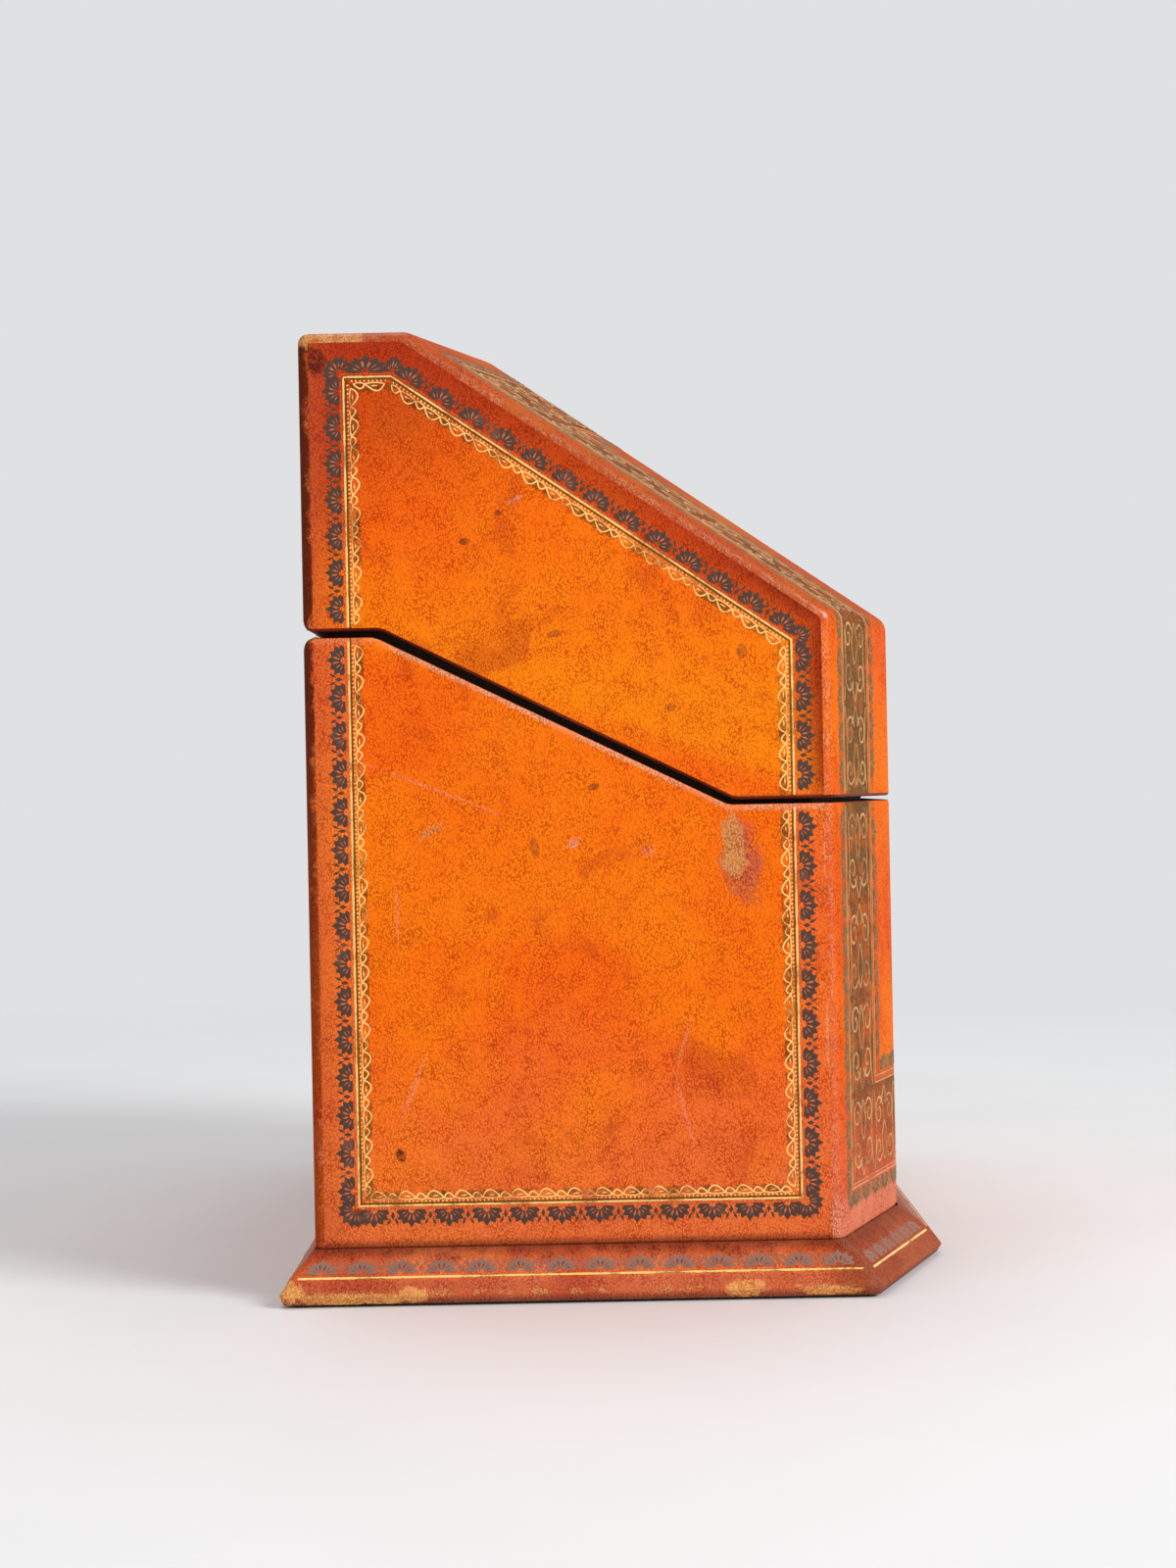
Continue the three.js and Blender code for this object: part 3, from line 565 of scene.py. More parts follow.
def repeats(corners, pitch, trim):
    """Places, directions and stretch of a tool rolled along each straight: a whole number to each."""
    spots = []
    for start, end in zip(corners, corners[1:]):
        length = abs(end - start) - 2 * trim
        along = (end - start) / abs(end - start)
        count = max(1, round(length / pitch))
        each = length / count
        spots.append((start + along * (trim + each * (np.arange(count) + 0.5)), np.full(count, along),
                      np.full(count, each / pitch)))
    return [np.concatenate(part) for part in zip(*spots)]


DULLEST_CORNER = 0.96
NARROWEST_PRINT = 0.6


def turns_of(corners):
    """Places, directions and stretch of a tool set across each corner, along the line that halves it. The
    stretch falls from 1 at a right angle as the sine of half the turn does."""
    ahead = np.diff(corners) / abs(np.diff(corners))
    along = ahead[:-1] + ahead[1:]
    sharp = abs(along) / 2 < DULLEST_CORNER
    narrow = np.sqrt(1 - abs(along[sharp] / 2) ** 2) / math.sin(math.pi / 4)
    return corners[1:-1][sharp], (along / abs(along))[sharp], np.clip(narrow, NARROWEST_PRINT, 1)


def laid(shape, spots, surface, outward=1):
    """Copies of a shape at spots on a surface, with faces that look away from the leather."""
    points, faces, lift, crest = shape
    places, directions, stretches = spots
    local = points.real * stretches[:, None] - 1j * outward * points.imag
    at = places[:, None] + directions[:, None] * local
    found = surface(at, lift)
    a, b, c = found[0][faces[0][:3]]
    away = surface(at[:1], lift + 1)[0] - found[0]
    if np.dot(np.cross(b - a, c - a), away[faces[0][0]]) < 0:
        faces = faces[:, TURNED]
    count, size = at.shape
    every = faces + (np.arange(count) * size)[:, None, None]
    return found.reshape(-1, 3), every.reshape(-1, 4), np.tile(crest, count)


def drawn_line(corners, width, crest, surface):
    one = np.ones(1)
    return laid(ribbon(followed(corners), width, crest), (0 * one, one, one), surface, outward=-1)


def rolled(shape, corners, pitch, surface, outward=1, trim=0.0, cornered=True, between=None):
    """A tool rolled along each straight of a path, with one more print across each corner, and another shape
    between every two prints."""
    places, directions, stretches = spots = repeats(corners, pitch, trim)
    parts = [laid(shape, spots, surface, outward)]
    if between:
        same = directions[:-1] == directions[1:]
        halfway = ((places[:-1] + places[1:])[same] / 2, directions[:-1][same], stretches[:-1][same])
        parts.append(laid(between, halfway, surface, outward))
    corner = turns_of(corners)
    if cornered and len(corner[0]):
        parts.append(laid(shape, corner, surface, outward))
    return parts


def fan_roll(corners, surface, **how):
    return rolled(FAN, corners, ROLL_PITCH, surface, between=SPRIG, **how)


def band_squares(lid):
    """Middles of the front's ornamental squares with their width and height over BAND_WIDTH: the level band
    with a corner square at each end, and the two upright bands."""
    left, right = CANT_GILT + BAND_MIDDLE, GIRTH - CANT_GILT - BAND_MIDDLE
    level = SHOULDER - HEAD_GILT - BAND_MIDDLE if lid else PANEL_FOOT + BAND_MIDDLE
    start = level + (-1 if lid else 1) * BAND_WIDTH / 2
    length = FRONT_CUT[lid] - start
    count = round(abs(length) / BAND_WIDTH)
    up = start + length * (np.arange(count) + 0.5) / count
    tall = abs(length) / count / BAND_WIDTH
    across = np.linspace(left, right, round((right - left) / BAND_WIDTH) + 1)
    wide = (across[1] - across[0]) / BAND_WIDTH
    return [(across + 1j * level, wide, 1.0), (left + 1j * up, 1.0, tall), (right + 1j * up, 1.0, tall)]


def patterned(shape, squares):
    """A square shape set upright on the front at each spot, every second one turned over."""
    parts = []
    for places, wide, tall in squares:
        for some, turn in ((places[::2], 1), (places[1::2], -1)):
            if len(some):
                points = shape[0].real * wide + 1j * turn * shape[0].imag * tall
                one = np.ones(len(some))
                parts.append(laid((points, *shape[1:]), (some, one, one), on_front, outward=-1))
    return parts


# Meshes

# Points closer than this become one
WELD = 0.002


def stood(name, data):
    """A new object in the scene."""
    made = bpy.data.objects.new(name, data)
    bpy.context.scene.collection.objects.link(made)
    return made


def mesh_of(name, points, faces):
    mesh = bpy.data.meshes.new(name)
    mesh.from_pydata((points * MM).tolist(), [], faces.tolist())
    return mesh


def finish_mesh(name, body, mesh, materials, smooth):
    piece = stood(name, mesh)
    for material in materials:
        mesh.materials.append(material)
    mesh.shade_smooth()
    mesh.set_sharp_from_angle(angle=math.radians(smooth))
    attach(piece, body)
    return piece


def tooling(name, body, parts, finish):
    """One mesh of many laid shapes, with the attribute crest from 0 at their edges to 1 on their ribs."""
    points, faces, crest = joined(parts)
    mesh = mesh_of(name, points, faces)
    mesh.attributes.new("crest", "FLOAT", "POINT").data.foreach_set("value", crest.astype(np.float32))
    finish_mesh(name, body, mesh, [finishes[finish]], smooth=60)


def skin(name, body, grids, finish_names, replaced):
    """One closed mesh from grids that share their borders. A grid is (points, number of its finish or one
    number for each face, closed rows, closed columns)."""
    parts = []
    for points, number, *closed in grids:
        faces = grid_faces(*points.shape[:2], *closed)
        parts.append((points.reshape(-1, 3), faces, number + np.zeros(len(faces), int)))
    points, faces, numbers = joined(parts)
    mesh = mesh_of(name, points, faces)
    mesh.polygons.foreach_set("material_index", numbers.astype(np.int32))
    made = bmesh.new()
    made.from_mesh(mesh)
    bmesh.ops.remove_doubles(made, verts=made.verts, dist=WELD * MM)
    bmesh.ops.recalc_face_normals(made, faces=made.faces)
    made.to_mesh(mesh)
    made.free()
    piece = finish_mesh(name, body, mesh, [finishes[finish] for finish in finish_names], smooth=40)
    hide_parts(*replaced)


# Shader words

def tone(red, green, blue):
    """A colour as the eye reads it, 0 to 255, as the linear one a shader takes."""
    share = np.array([red, green, blue]) / 255
    linear = np.where(share <= 0.04045, share / 12.92, ((share + 0.055) / 1.055) ** 2.4)
    return (*linear.tolist(), 1.0)


class Wire:
    """A shader socket that takes part in sums with numbers and other wires."""

    def __init__(self, shading, socket):
        self.shading, self.socket = shading, socket

    def __add__(self, other):
        return self.shading.sum("ADD", self, other)

    def __sub__(self, other):
        return self.shading.sum("SUBTRACT", self, other)

    def __rsub__(self, other):
        return self.shading.sum("SUBTRACT", other, self)

    def __mul__(self, other):
        return self.shading.sum("MULTIPLY", self, other)

    def __abs__(self):
        return self.shading.sum("ABSOLUTE", self)

    __radd__, __rmul__ = __add__, __mul__


class Shading:
    """A node tree, put together by calls that return the wires they make."""

    def __init__(self, tree):
        self.tree = tree
        tree.nodes.clear()

    def node(self, kind, sockets=None, output=0, **settings):
        made = self.tree.nodes.new(kind)
        for name, value in settings.items():
            setattr(made, name, value)
        for name, value in (sockets or {}).items():
            if isinstance(value, Wire):
                self.tree.links.new(value.socket, made.inputs[name])
            else:
                made.inputs[name].default_value = value
        return Wire(self, made.outputs[output])

    def end(self, kind, shader):
        self.tree.links.new(shader.socket, self.tree.nodes.new(kind).inputs[0])

    def sum(self, operation, *values):
        return self.node("ShaderNodeMath", dict(enumerate(values)), operation=operation)

    def least(self, first, *others):
        return self.least(self.sum("MINIMUM", first, others[0]), *others[1:]) if others else first

    def most(self, first, *others):
        return self.most(self.sum("MAXIMUM", first, others[0]), *others[1:]) if others else first

    def seen(self):
        """1 where the camera looks, straight or by a mirror or through glass, and 0 where light is gathered."""
        path = self.node("ShaderNodeLightPath").socket.node.outputs
        return self.most(*(Wire(self, path[f"Is {kind} Ray"]) for kind in ("Camera", "Glossy", "Transmission")))


class Finish(Shading):
    """A procedural material on Object coordinates, in millimetres. Paint goes over its first colour. Colours
    are (red, green, blue) as the eye reads them."""

    def __init__(self, name, colour):
        self.material = bpy.data.materials.new(name)
        self.material.use_nodes = True
        super().__init__(self.material.node_tree)
        self.colour = tone(*colour)
        self.at = self.vectors("SCALE", self.node("ShaderNodeTexCoord", output="Object"), Scale=1 / MM)
        parts = self.node("ShaderNodeSeparateXYZ", {0: self.at}).socket.node.outputs
        self.x, y, self.height = [Wire(self, part) for part in parts]
        self.depth = BACK_Y - y

    def vectors(self, operation, *values, output=0, **named):
        return self.node("ShaderNodeVectorMath", {**dict(enumerate(values)), **named}, output,
                         operation=operation)

    def paint(self, share, colour, blend="MIX"):
        self.colour = self.node("ShaderNodeMix", {0: share, 6: self.colour, 7: tone(*colour)}, 2,
                                data_type="RGBA", blend_type=blend)

    def fade(self, value, start, end, low=0.0, high=1.0):
        return self.node("ShaderNodeMapRange", {0: value, 1: start, 2: end, 3: low, 4: high},
                         interpolation_type="SMOOTHSTEP")

    def clouds(self, size, detail=2.0, rough=0.5, place=None, bend=0.0):
        """Soft noise from 0 to 1 with spots about that many millimetres wide."""
        return self.node("ShaderNodeTexNoise", {
            "Vector": place or self.at, "Scale": 1 / size, "Detail": detail, "Roughness": rough,
            "Distortion": bend})

    def pebbles(self, size, place=None):
        return self.node("ShaderNodeTexVoronoi", {"Vector": place or self.at, "Scale": 1 / size})

    def stretched(self, x, y, z):
        """The place with each direction stretched, for grain that runs one way."""
        return self.vectors("MULTIPLY", self.at, (1 / x, 1 / y, 1 / z))

    def crest(self):
        """The attribute of that name, 0 at the edges of a print and 1 on its ribs."""
        return self.node("ShaderNodeAttribute", output=2, attribute_name="crest")

    def parting(self):
        """Height of the box's rim at each depth, with sharp bends."""
        return self.node("ShaderNodeMapRange", {
            0: self.depth, 1: PART_BACK_FLAT, 2: SIDE_DEPTH - PART_FRONT_FLAT, 3: BOX_RIM_BACK,
            4: BOX_RIM_FRONT})

    def shader(self, rough, relief=None, metallic=0.0, **others):
        """The painted colour with a relief in millimetres."""
        sockets = {"Base Color": self.colour, "Roughness": rough, "Metallic": metallic}
        sockets.update({name.replace("_", " "): value for name, value in others.items()})
        if relief is not None:
            sockets["Normal"] = self.node("ShaderNodeBump", {"Strength": 1.0, "Distance": MM, "Height": relief})
        return self.node("ShaderNodeBsdfPrincipled", sockets)

    def surface(self, *values, **others):
        self.end("ShaderNodeOutputMaterial", self.shader(*values, **others))
        return self.material


# Camera and light. The lamps' places and sizes are in metres, and their power in watts.

CAMERA_PLACE = (-715.0, 6.3, 116.4)
CAMERA_LENS = 60.75
CAMERA_SENSOR = 36.0
CAMERA_ROLL = math.radians(1.12)
CAMERA_FACING = Matrix(((0, 0, -1), (-1, 0, 0), (0, 1, 0)))
LIT_POINT = (0, 0, 0.1)
LAMPS = [("key", (-0.95, -1.35, 1.0), 0.9, 30), ("fill", (-1.1, 1.3, 0.8), 1.4, 8),
         ("top", (0.5, 0.1, 1.9), 1.6, 14)]
BACKDROP = tone(224, 225, 226)
FLOOR_RADIUS = 6000.0


def make_camera():
    data = bpy.data.cameras.new("camera")
    data.lens, data.sensor_width = CAMERA_LENS, CAMERA_SENSOR
    data.clip_start, data.clip_end = 0.01, 50
    camera = bpy.context.scene.camera = stood("camera", data)
    camera.matrix_world = (Matrix.Translation(Vector(CAMERA_PLACE) * MM) @ CAMERA_FACING.to_4x4()
                           @ Matrix.Rotation(-CAMERA_ROLL, 4, "Z"))


def make_light():
    for name, place, size, power in LAMPS:
        data = bpy.data.lights.new(name, "AREA")
        data.shape, data.size, data.energy = "DISK", size, power
        aim = (Vector(LIT_POINT) - Vector(place)).to_track_quat("-Z", "Y").to_matrix().to_4x4()
        stood(name, data).matrix_world = Matrix.Translation(place) @ aim
    world = bpy.context.scene.world = bpy.data.worlds.new("studio")
    world.use_nodes = True
    sky = Shading(world.node_tree)
    soft = sky.node("ShaderNodeBackground", {"Color": (0.9, 0.94, 1, 1), "Strength": 0.35})
    plain = sky.node("ShaderNodeBackground", {"Color": BACKDROP, "Strength": 1.0})
    sky.end("ShaderNodeOutputWorld", sky.node("ShaderNodeMixShader", {0: sky.seen(), 1: soft, 2: plain}))


def make_floor():
    """A pale disc that keeps the shadow near the box and melts into the backdrop further out."""
    finish = Finish("pale_table", (222, 222, 222))
    finish.paint(finish.clouds(90, 3), (230, 230, 229))
    far = finish.fade(finish.vectors("LENGTH", finish.at, output=1), 260, 900)
    glow = finish.node("ShaderNodeEmission", {"Color": BACKDROP, "Strength": 1.0})
    finish.end("ShaderNodeOutputMaterial", finish.node("ShaderNodeMixShader", {
        0: far * finish.seen(), 1: finish.shader(0.7), 2: glow}))
    ring = FLOOR_RADIUS * np.exp(2j * np.pi * np.arange(96) / 96)
    mesh = mesh_of("table", np.stack([ring.real, ring.imag, 0 * ring.real], axis=1), np.arange(96)[None, :])
    mesh.materials.append(finish.material)
    floor = stood("table", mesh)


# Finishes

ORANGE = (255, 121, 6)
DEEP_ORANGE = (250, 107, 6)
BRIGHT_ORANGE = (255, 138, 4)
RUSSET = (176, 50, 18)
SALMON = (214, 100, 62)
ROSE = (224, 118, 70)
CREASE = (186, 112, 100)
OXBLOOD = (96, 34, 26)
# Near-black brown for soot stains, also used as painted shade along the back edge
SOOT_AND_SHADE = (70, 22, 12)
# Pale pink of rubbed leather, also painted as a highlight along rounded edges and the rim
RAW_AND_HIGHLIGHT = (234, 166, 120)
TAN = (214, 152, 88)
OLIVE = (94, 80, 46)
SCRATCH = (236, 148, 112)
GILT_SHADE = (98, 66, 20)


def calf(name, base, deep, bright, zones=None, gloss=0.4, sheen=0.06):
    """Glazed calf: soft mottling, then what the zones function lays at each place, then fine grain drawn out
    downwards, with darker creases between its pebbles. Handled edges are polished."""
    finish = Finish(name, deep)
    wander = finish.node("ShaderNodeTexNoise", {"Vector": finish.at, "Scale": 0.5}, 1)
    drift = finish.vectors("SCALE", wander, Scale=0.7)
    place = finish.vectors("ADD", finish.stretched(0.38, 0.38, 0.56), drift)
    creases = finish.fade(finish.pebbles(1.0, place), 0.3, 0.72)
    finish.broad = finish.clouds(34, 3, 0.5, bend=0.4)
    finish.small = finish.clouds(5, 4, 0.62)
    finish.fine = finish.clouds(1.6, 3, 0.6)
    finish.polish = 0.03
    finish.paint(finish.fade(finish.broad, 0.38, 0.6), base)
    finish.paint(finish.fade(finish.broad * 0.5 + finish.small * 0.5, 0.47, 0.66, 0, 0.6), bright)
    finish.rough = gloss + finish.small * 0.14
    finish.relief = creases * -0.07 + finish.small * 0.08 + finish.broad * 0.5
    if zones:
        zones(finish, finish.fade, finish.paint, finish.depth, finish.height, finish.small)
    inked = creases * finish.fade(finish.small + finish.fine * 0.2, 0.42, 0.76, 0.32, 0.8)
    finish.paint(inked, CREASE, "MULTIPLY")
    return finish.surface(finish.rough, finish.relief, Coat_Weight=finish.polish, Coat_Roughness=0.25,
                          Specular_IOR_Level=sheen)


def patch(finish, depth, up, wide, tall, lean=0.0):
    """How far a place lies in a spot on the left side: 1 inside an ellipse that leans by an angle, 0 outside,
    with an edge that noise makes ragged."""
    across, along = finish.depth - depth, finish.height - up
    turned = across * math.cos(lean) + along * math.sin(lean)
    rising = along * math.cos(lean) - across * math.sin(lean)
    reach = finish.sum("SQRT", turned * turned * (1 / wide**2) + rising * rising * (1 / tall**2))
    ragged = reach + (finish.fine + finish.small - 1) * RAGGED
    return finish.fade(ragged, 1.3, 0.9) * finish.fade(finish.fine, 0.4, 0.56, 0.6, 1) * finish.on_left


# Rubs and scuffs of the left side: depth, height, half width, half height, lean, colour, strength
SCUFFS = [
    (98.5, 98.2, 4.0, 8.5, 0.1, (150, 78, 76), 0.6), (96.9, 100.8, 2.3, 6.6, 0.1, TAN, 1.0),
    (65.2, 115.7, 1.2, 0.7, 0.3, OXBLOOD, 0.7), (60.5, 103.1, 1.6, 0.9, 0.6, SCRATCH, 0.8),
    (51.7, 102.2, 0.9, 1.8, 0.2, OXBLOOD, 0.5), (28.3, 106.4, 2.6, 1.0, 0.5, TAN, 0.6),
    (37.0, 171.9, 1.0, 0.7, 0, OXBLOOD, 0.8), (44.9, 178.3, 0.8, 0.6, 0, OXBLOOD, 0.7),
    (48.7, 181.1, 1.8, 0.6, 0.5, SCRATCH, 0.9), (57.0, 150.6, 1.3, 0.7, 0.2, OXBLOOD, 0.6),
    (83.1, 133.4, 1.1, 0.8, 0, OXBLOOD, 0.6), (99.6, 145.7, 0.9, 1.4, 0, OXBLOOD, 0.6),
    (20.0, 33.0, 0.9, 1.5, 0.3, SOOT_AND_SHADE, 0.9), (10.2, 19.2, 2.3, 1.9, 0.4, OXBLOOD, 0.8),
    (29.9, 115.5, 14, 0.35, -0.38, SCRATCH, 0.4), (20.2, 87.3, 0.35, 6.8, 0, SCRATCH, 0.45),
    (84.6, 42, 0.35, 9, 0.25, SCRATCH, 0.4), (85.0, 58, 0.35, 6, -0.3, SCRATCH, 0.4),
    (23.2, 48.2, 0.5, 6.5, -0.4, SCRATCH, 0.45), (118.4, 103, 1.0, 11, 0, RAW_AND_HIGHLIGHT, 0.8),
    (117.8, 58, 0.7, 7, 0, RAW_AND_HIGHLIGHT, 0.6), (77.5, 101, 1.4, 1.2, 0, SCRATCH, 0.4),
    (111.0, 27.5, 9.0, 1.1, 0.05, ROSE, 0.45), (3.6, 213.6, 2.4, 3.2, 0.4, SOOT_AND_SHADE, 0.85),
    (118.3, 16.0, 1.3, 3.4, 0, TAN, 0.8),
]

# The same on the plinth: depth, height, half width, half height
PLINTH_RUBS = [(97.5, 2.6, 3.6, 1.9), (-6, 3.4, 4, 2.4), (9, 1.9, 13, 1.2), (23, 2.6, 3, 1.5), (116, 2, 6, 0.9)]
RAGGED = 1.6


def side_zones(finish, fade, paint, depth, up, small):
    """Darkened margins with painted shade along the back edge, at the foot and over the parting gap, shaded
    gilt lines, edges rubbed pale with a painted highlight on them, and a pale rim along the parting line that
    is part wear and part painted highlight.
    """
    roof = RIDGE - depth * ROOF_FACING.real - up * ROOF_FACING.imag
    border = finish.least(depth - BACK_GILT, SIDE_DEPTH - FRONT_GILT - depth, up - (FOOT + FOOT_GILT),
                          TOP - ROOF_GILT - up, roof - ROOF_GILT)
    edge = finish.least(SIDE_DEPTH - depth, TOP - up, roof)
    finish.on_left = fade(finish.x, -1, -2)
    lid = fade(up + depth * 0.35, 150, 158)
    blotch = (finish.broad - 0.5) * 60
    paint(fade(up + blotch, 72, 8, 0, 0.5), ROSE)
    paint(fade(up - depth * 0.45 + blotch, 150, 205, 0, 0.7), RUSSET)
    paint(fade(up + depth * 0.1 + blotch * 0.5, 178, 140, 0, 0.9) * lid, BRIGHT_ORANGE)
    paint(fade(finish.clouds(16, 4, 0.6, bend=0.8), 0.52, 0.7, 0, 0.4), RUSSET)
    paint(fade(border, 0.4, -0.8, 0, 0.3) * (1 - lid), ROSE)
    reddened = fade(border + blotch * 0.05, 0.4, -1.2) * fade(up + depth * 0.45, 165, 200, 0.15, 0.7)
    paint(reddened * lid, RUSSET)
    deepened = fade(edge + blotch * 0.05, 7, 2) * fade(depth, 84, 112, 0.2, 0.8)
    paint(deepened * lid, (132, 32, 16))
    paint(fade(depth + blotch * 0.1, 9, 3, 0, 0.5), (200, 90, 48))
    paint(fade(abs(border - 0.45), 0.35, 0.15, 0, 0.85), GILT_SHADE)
    paint(fade(abs(border + 0.72), 0.3, 0.1, 0, 0.55), SALMON)
    paint(fade(abs(border - 2.4), 1.0, 0.7, 0, 0.65) * fade(small, 0.42, 0.6), GILT_SHADE)
    paint(fade(edge + blotch * 0.03, 2.6, 0.8, 0, 0.6) * (1 - lid), RUSSET)
    # Pale line along the front, top and slope edges: partly rubbed leather, partly a painted highlight on the
    # rounded edge
    wear_and_highlight = fade(small * 0.4 + finish.fine * 0.6, 0.5, 0.6) * fade(finish.broad, 0.4, 0.6, 0.1, 0.5)
    paint(fade(edge, 0.9, 0.3) * wear_and_highlight, RAW_AND_HIGHLIGHT)
    # Painted shade: darker at the foot of the body, where it stands in the plinth
    paint(fade(up, 14.5, 12.6, 0, 0.6), OXBLOOD)
    # Painted shade along the rounded back edge, stronger higher up
    paint(fade(depth + (small - 0.5) * 5, 2.8, 0.8) * fade(up, 15, 150, 0.3, 0.85), SOOT_AND_SHADE)
    for *place, colour, strength in SCUFFS:
        paint(patch(finish, *place) * strength, colour)
    parting = finish.parting()
    # Pale rim just below the parting line: part wear, part a painted highlight on the box's rounded rim
    rim = fade(abs(parting - up - 0.7), 1.0, 0.3) * fade(depth, 15, 22, 0.4, 1)
    paint(rim * fade(small, 0.35, 0.6, 0.25, 0.8), RAW_AND_HIGHLIGHT)
    # Painted shade: a dark line on the lid's edge just above the parting gap
    paint(fade(abs(up - parting - 1.7), 0.5, 0.2, 0, 0.4), OXBLOOD)
    finish.polish = finish.most(fade(edge, 2.4, 0.2, 0.03, 0.5), rim)
    finish.relief += fade(abs(border - 0.45), 0.4, 0.15, 0, -0.08)


def front_zones(finish, fade, paint, depth, up, small):
    """The front, slope, top and back. The band between the gilt lines has a dark olive ground, and the
    leather is rubbed through at the top back corner of the left side. Painted shade darkens the slope, the top
    and the back corners, and the pale line along the side edges is part rubbing, part painted highlight."""
    girth = (HALF - abs(finish.x)) * SLANT
    inside = finish.least(girth - CANT_GILT, up - PANEL_FOOT, (TOP - up) * (1 / ROOF_FACING.real) - HEAD_GILT)
    ahead = fade(depth, 4, 5)
    band = fade(inside, 0.3, 0.8) * fade(inside, BAND_END - 0.2, BAND_END - 0.8) * ahead
    beside = fade(inside, -4.8, -3.6) * fade(inside, BAND_END + 5, BAND_END + 4) * ahead * 0.4
    paint(finish.most(band, beside) * fade(small * 0.6 + finish.broad * 0.4, 0.34, 0.54, 0.45, 0.9), OLIVE)
    # Painted shade: the slope and the top are darker than the front
    paint(fade(up, FRONT_EDGE_HEIGHT - 4, FRONT_EDGE_HEIGHT + 3) * ahead * 0.5, (122, 60, 32))
    paint(fade(up, 55, 14, 0, 0.75) * ahead, SALMON)
    paint(fade(depth, 30, 4, 0, 0.55), RUSSET)
    paint(fade(up, 24, 18, 0, 0.5) * ahead, (222, 150, 118))
    # Pale line at the side edges of the front: partly rubbed leather, partly a painted highlight
    paint(fade(girth, 0.8, 0.2) * fade(small * 0.4 + finish.fine * 0.6, 0.46, 0.56) * 0.25, RAW_AND_HIGHLIGHT)
    # Painted shade along the back edge, beside the sides
    dark = fade(depth + (small - 0.5) * 12, 4.2, 1.4) * fade(girth, 3.4, 2.0)
    paint(dark * fade(up, 15, 150, 0.3, 0.85), SOOT_AND_SHADE)
    paint(fade(finish.clouds(9, 5, 0.7), 0.64, 0.7, 0, 0.5), ROSE)
    finish.on_left = fade(finish.x, 5 - HALF, 2 - HALF)
    paint(patch(finish, 4.5, 219.3, 9, 2.6), TAN)
    finish.polish = fade(girth, 1.5, 0.6, 0.02, 0.6) * ahead
    finish.rough += band * 0.12


def plinth_zones(finish, fade, paint, depth, up, small):
    """Tan rubbed along the nose, purple-brown painted shade below it, painted shade at the top where the body
    stands, orange where the bevel is rubbed, and a rubbed mitre.
    """
    paint(fade(small, 0.5, 0.66, 0, 0.6) * fade(up, 5, 8), (196, 84, 40))
    paint(fade(up, 6.2, 5.2, 0, 0.4), (172, 84, 66))
    # Painted shade on the facet that turns back under the nose
    paint(fade(up, 2.4, 0.9, 0, 0.7), (104, 66, 58))
    paint(fade(abs(up - 2.9), 1.1, 0.2) * fade(small * 0.6 + finish.fine * 0.4, 0.5, 0.58) * 0.75, TAN)
    # Painted shade at the top of the bevel, where the body stands in the plinth
    paint(fade(up + (small - 0.5) * 4, 8.6, 12, 0, 0.7), OXBLOOD)
    inner, outer = plan_corners(0)[1], plan_corners(PLINTH[1][0])[1]
    mitre = 1j * (outer - inner) / abs(outer - inner)
    off = (abs(finish.x) - inner.real) * mitre.real + (depth - inner.imag) * mitre.imag
    at_corner = fade(abs(finish.x), HALF - 3, HALF) * fade(depth, 110, 115)
    paint(fade(abs(off) + (small - 0.5) * 6, 1.9, 0.6) * at_corner * 0.45, (176, 122, 112))
    paint(fade(depth, 113, 122, 0, 0.6), (128, 64, 26))
    finish.on_left = fade(finish.x, -1, -2)
    for place in PLINTH_RUBS:
        paint(patch(finish, *place), (236, 172, 96))
    finish.rough += 0.06


def pressed(name, ground, line, other):
    """Tooled relief: the ground colour on the ribs of each print and the paler one in its veins."""
    finish = Finish(name, line)
    crest, fine = finish.crest(), finish.clouds(0.9, 2)
    finish.paint(finish.fade(crest + (fine - 0.5) * 0.4, 0.14, 0.5), ground)
    finish.paint(finish.fade(finish.clouds(6, 3, 0.6), 0.56, 0.72, 0, 0.55), other)
    return finish.surface(0.45 + fine * 0.2, fine * 0.05 + crest * 0.02, Specular_IOR_Level=0.2)


def gilding(name, bright, rubbed, wear, metallic):
    """Gold leaf, whole on the crests and rubbed away in patches and at the edges."""
    finish = Finish(name, rubbed)
    fine = finish.clouds(0.7, 2)
    cover = finish.clouds(7, 4, 0.65) + (finish.crest() - 0.5) * 0.25 + (fine - 0.5) * 0.3
    whole = finish.fade(cover, wear, wear + 0.12)
    finish.paint(whole, bright)
    return finish.surface(0.62 - whole * 0.25, fine * 0.04, whole * metallic)


def timber():
    """Mahogany boards: growth bands that wander along the grain, with short dark vessels."""
    finish = Finish("mahogany", (128, 62, 34))
    bands = finish.sum("SINE", finish.clouds(1, 3, 0.5, finish.stretched(38, 4, 4)) * 26)
    vessels = finish.fade(finish.clouds(1, 2, 0.6, finish.stretched(3.5, 0.35, 0.35)), 0.58, 0.68)
    finish.paint(finish.fade(bands, -1, 1), (158, 84, 48))
    finish.paint(vessels * 0.6, (70, 30, 18))
    return finish.surface(0.5 + vessels * 0.2, vessels * -0.06, Specular_IOR_Level=0.3)


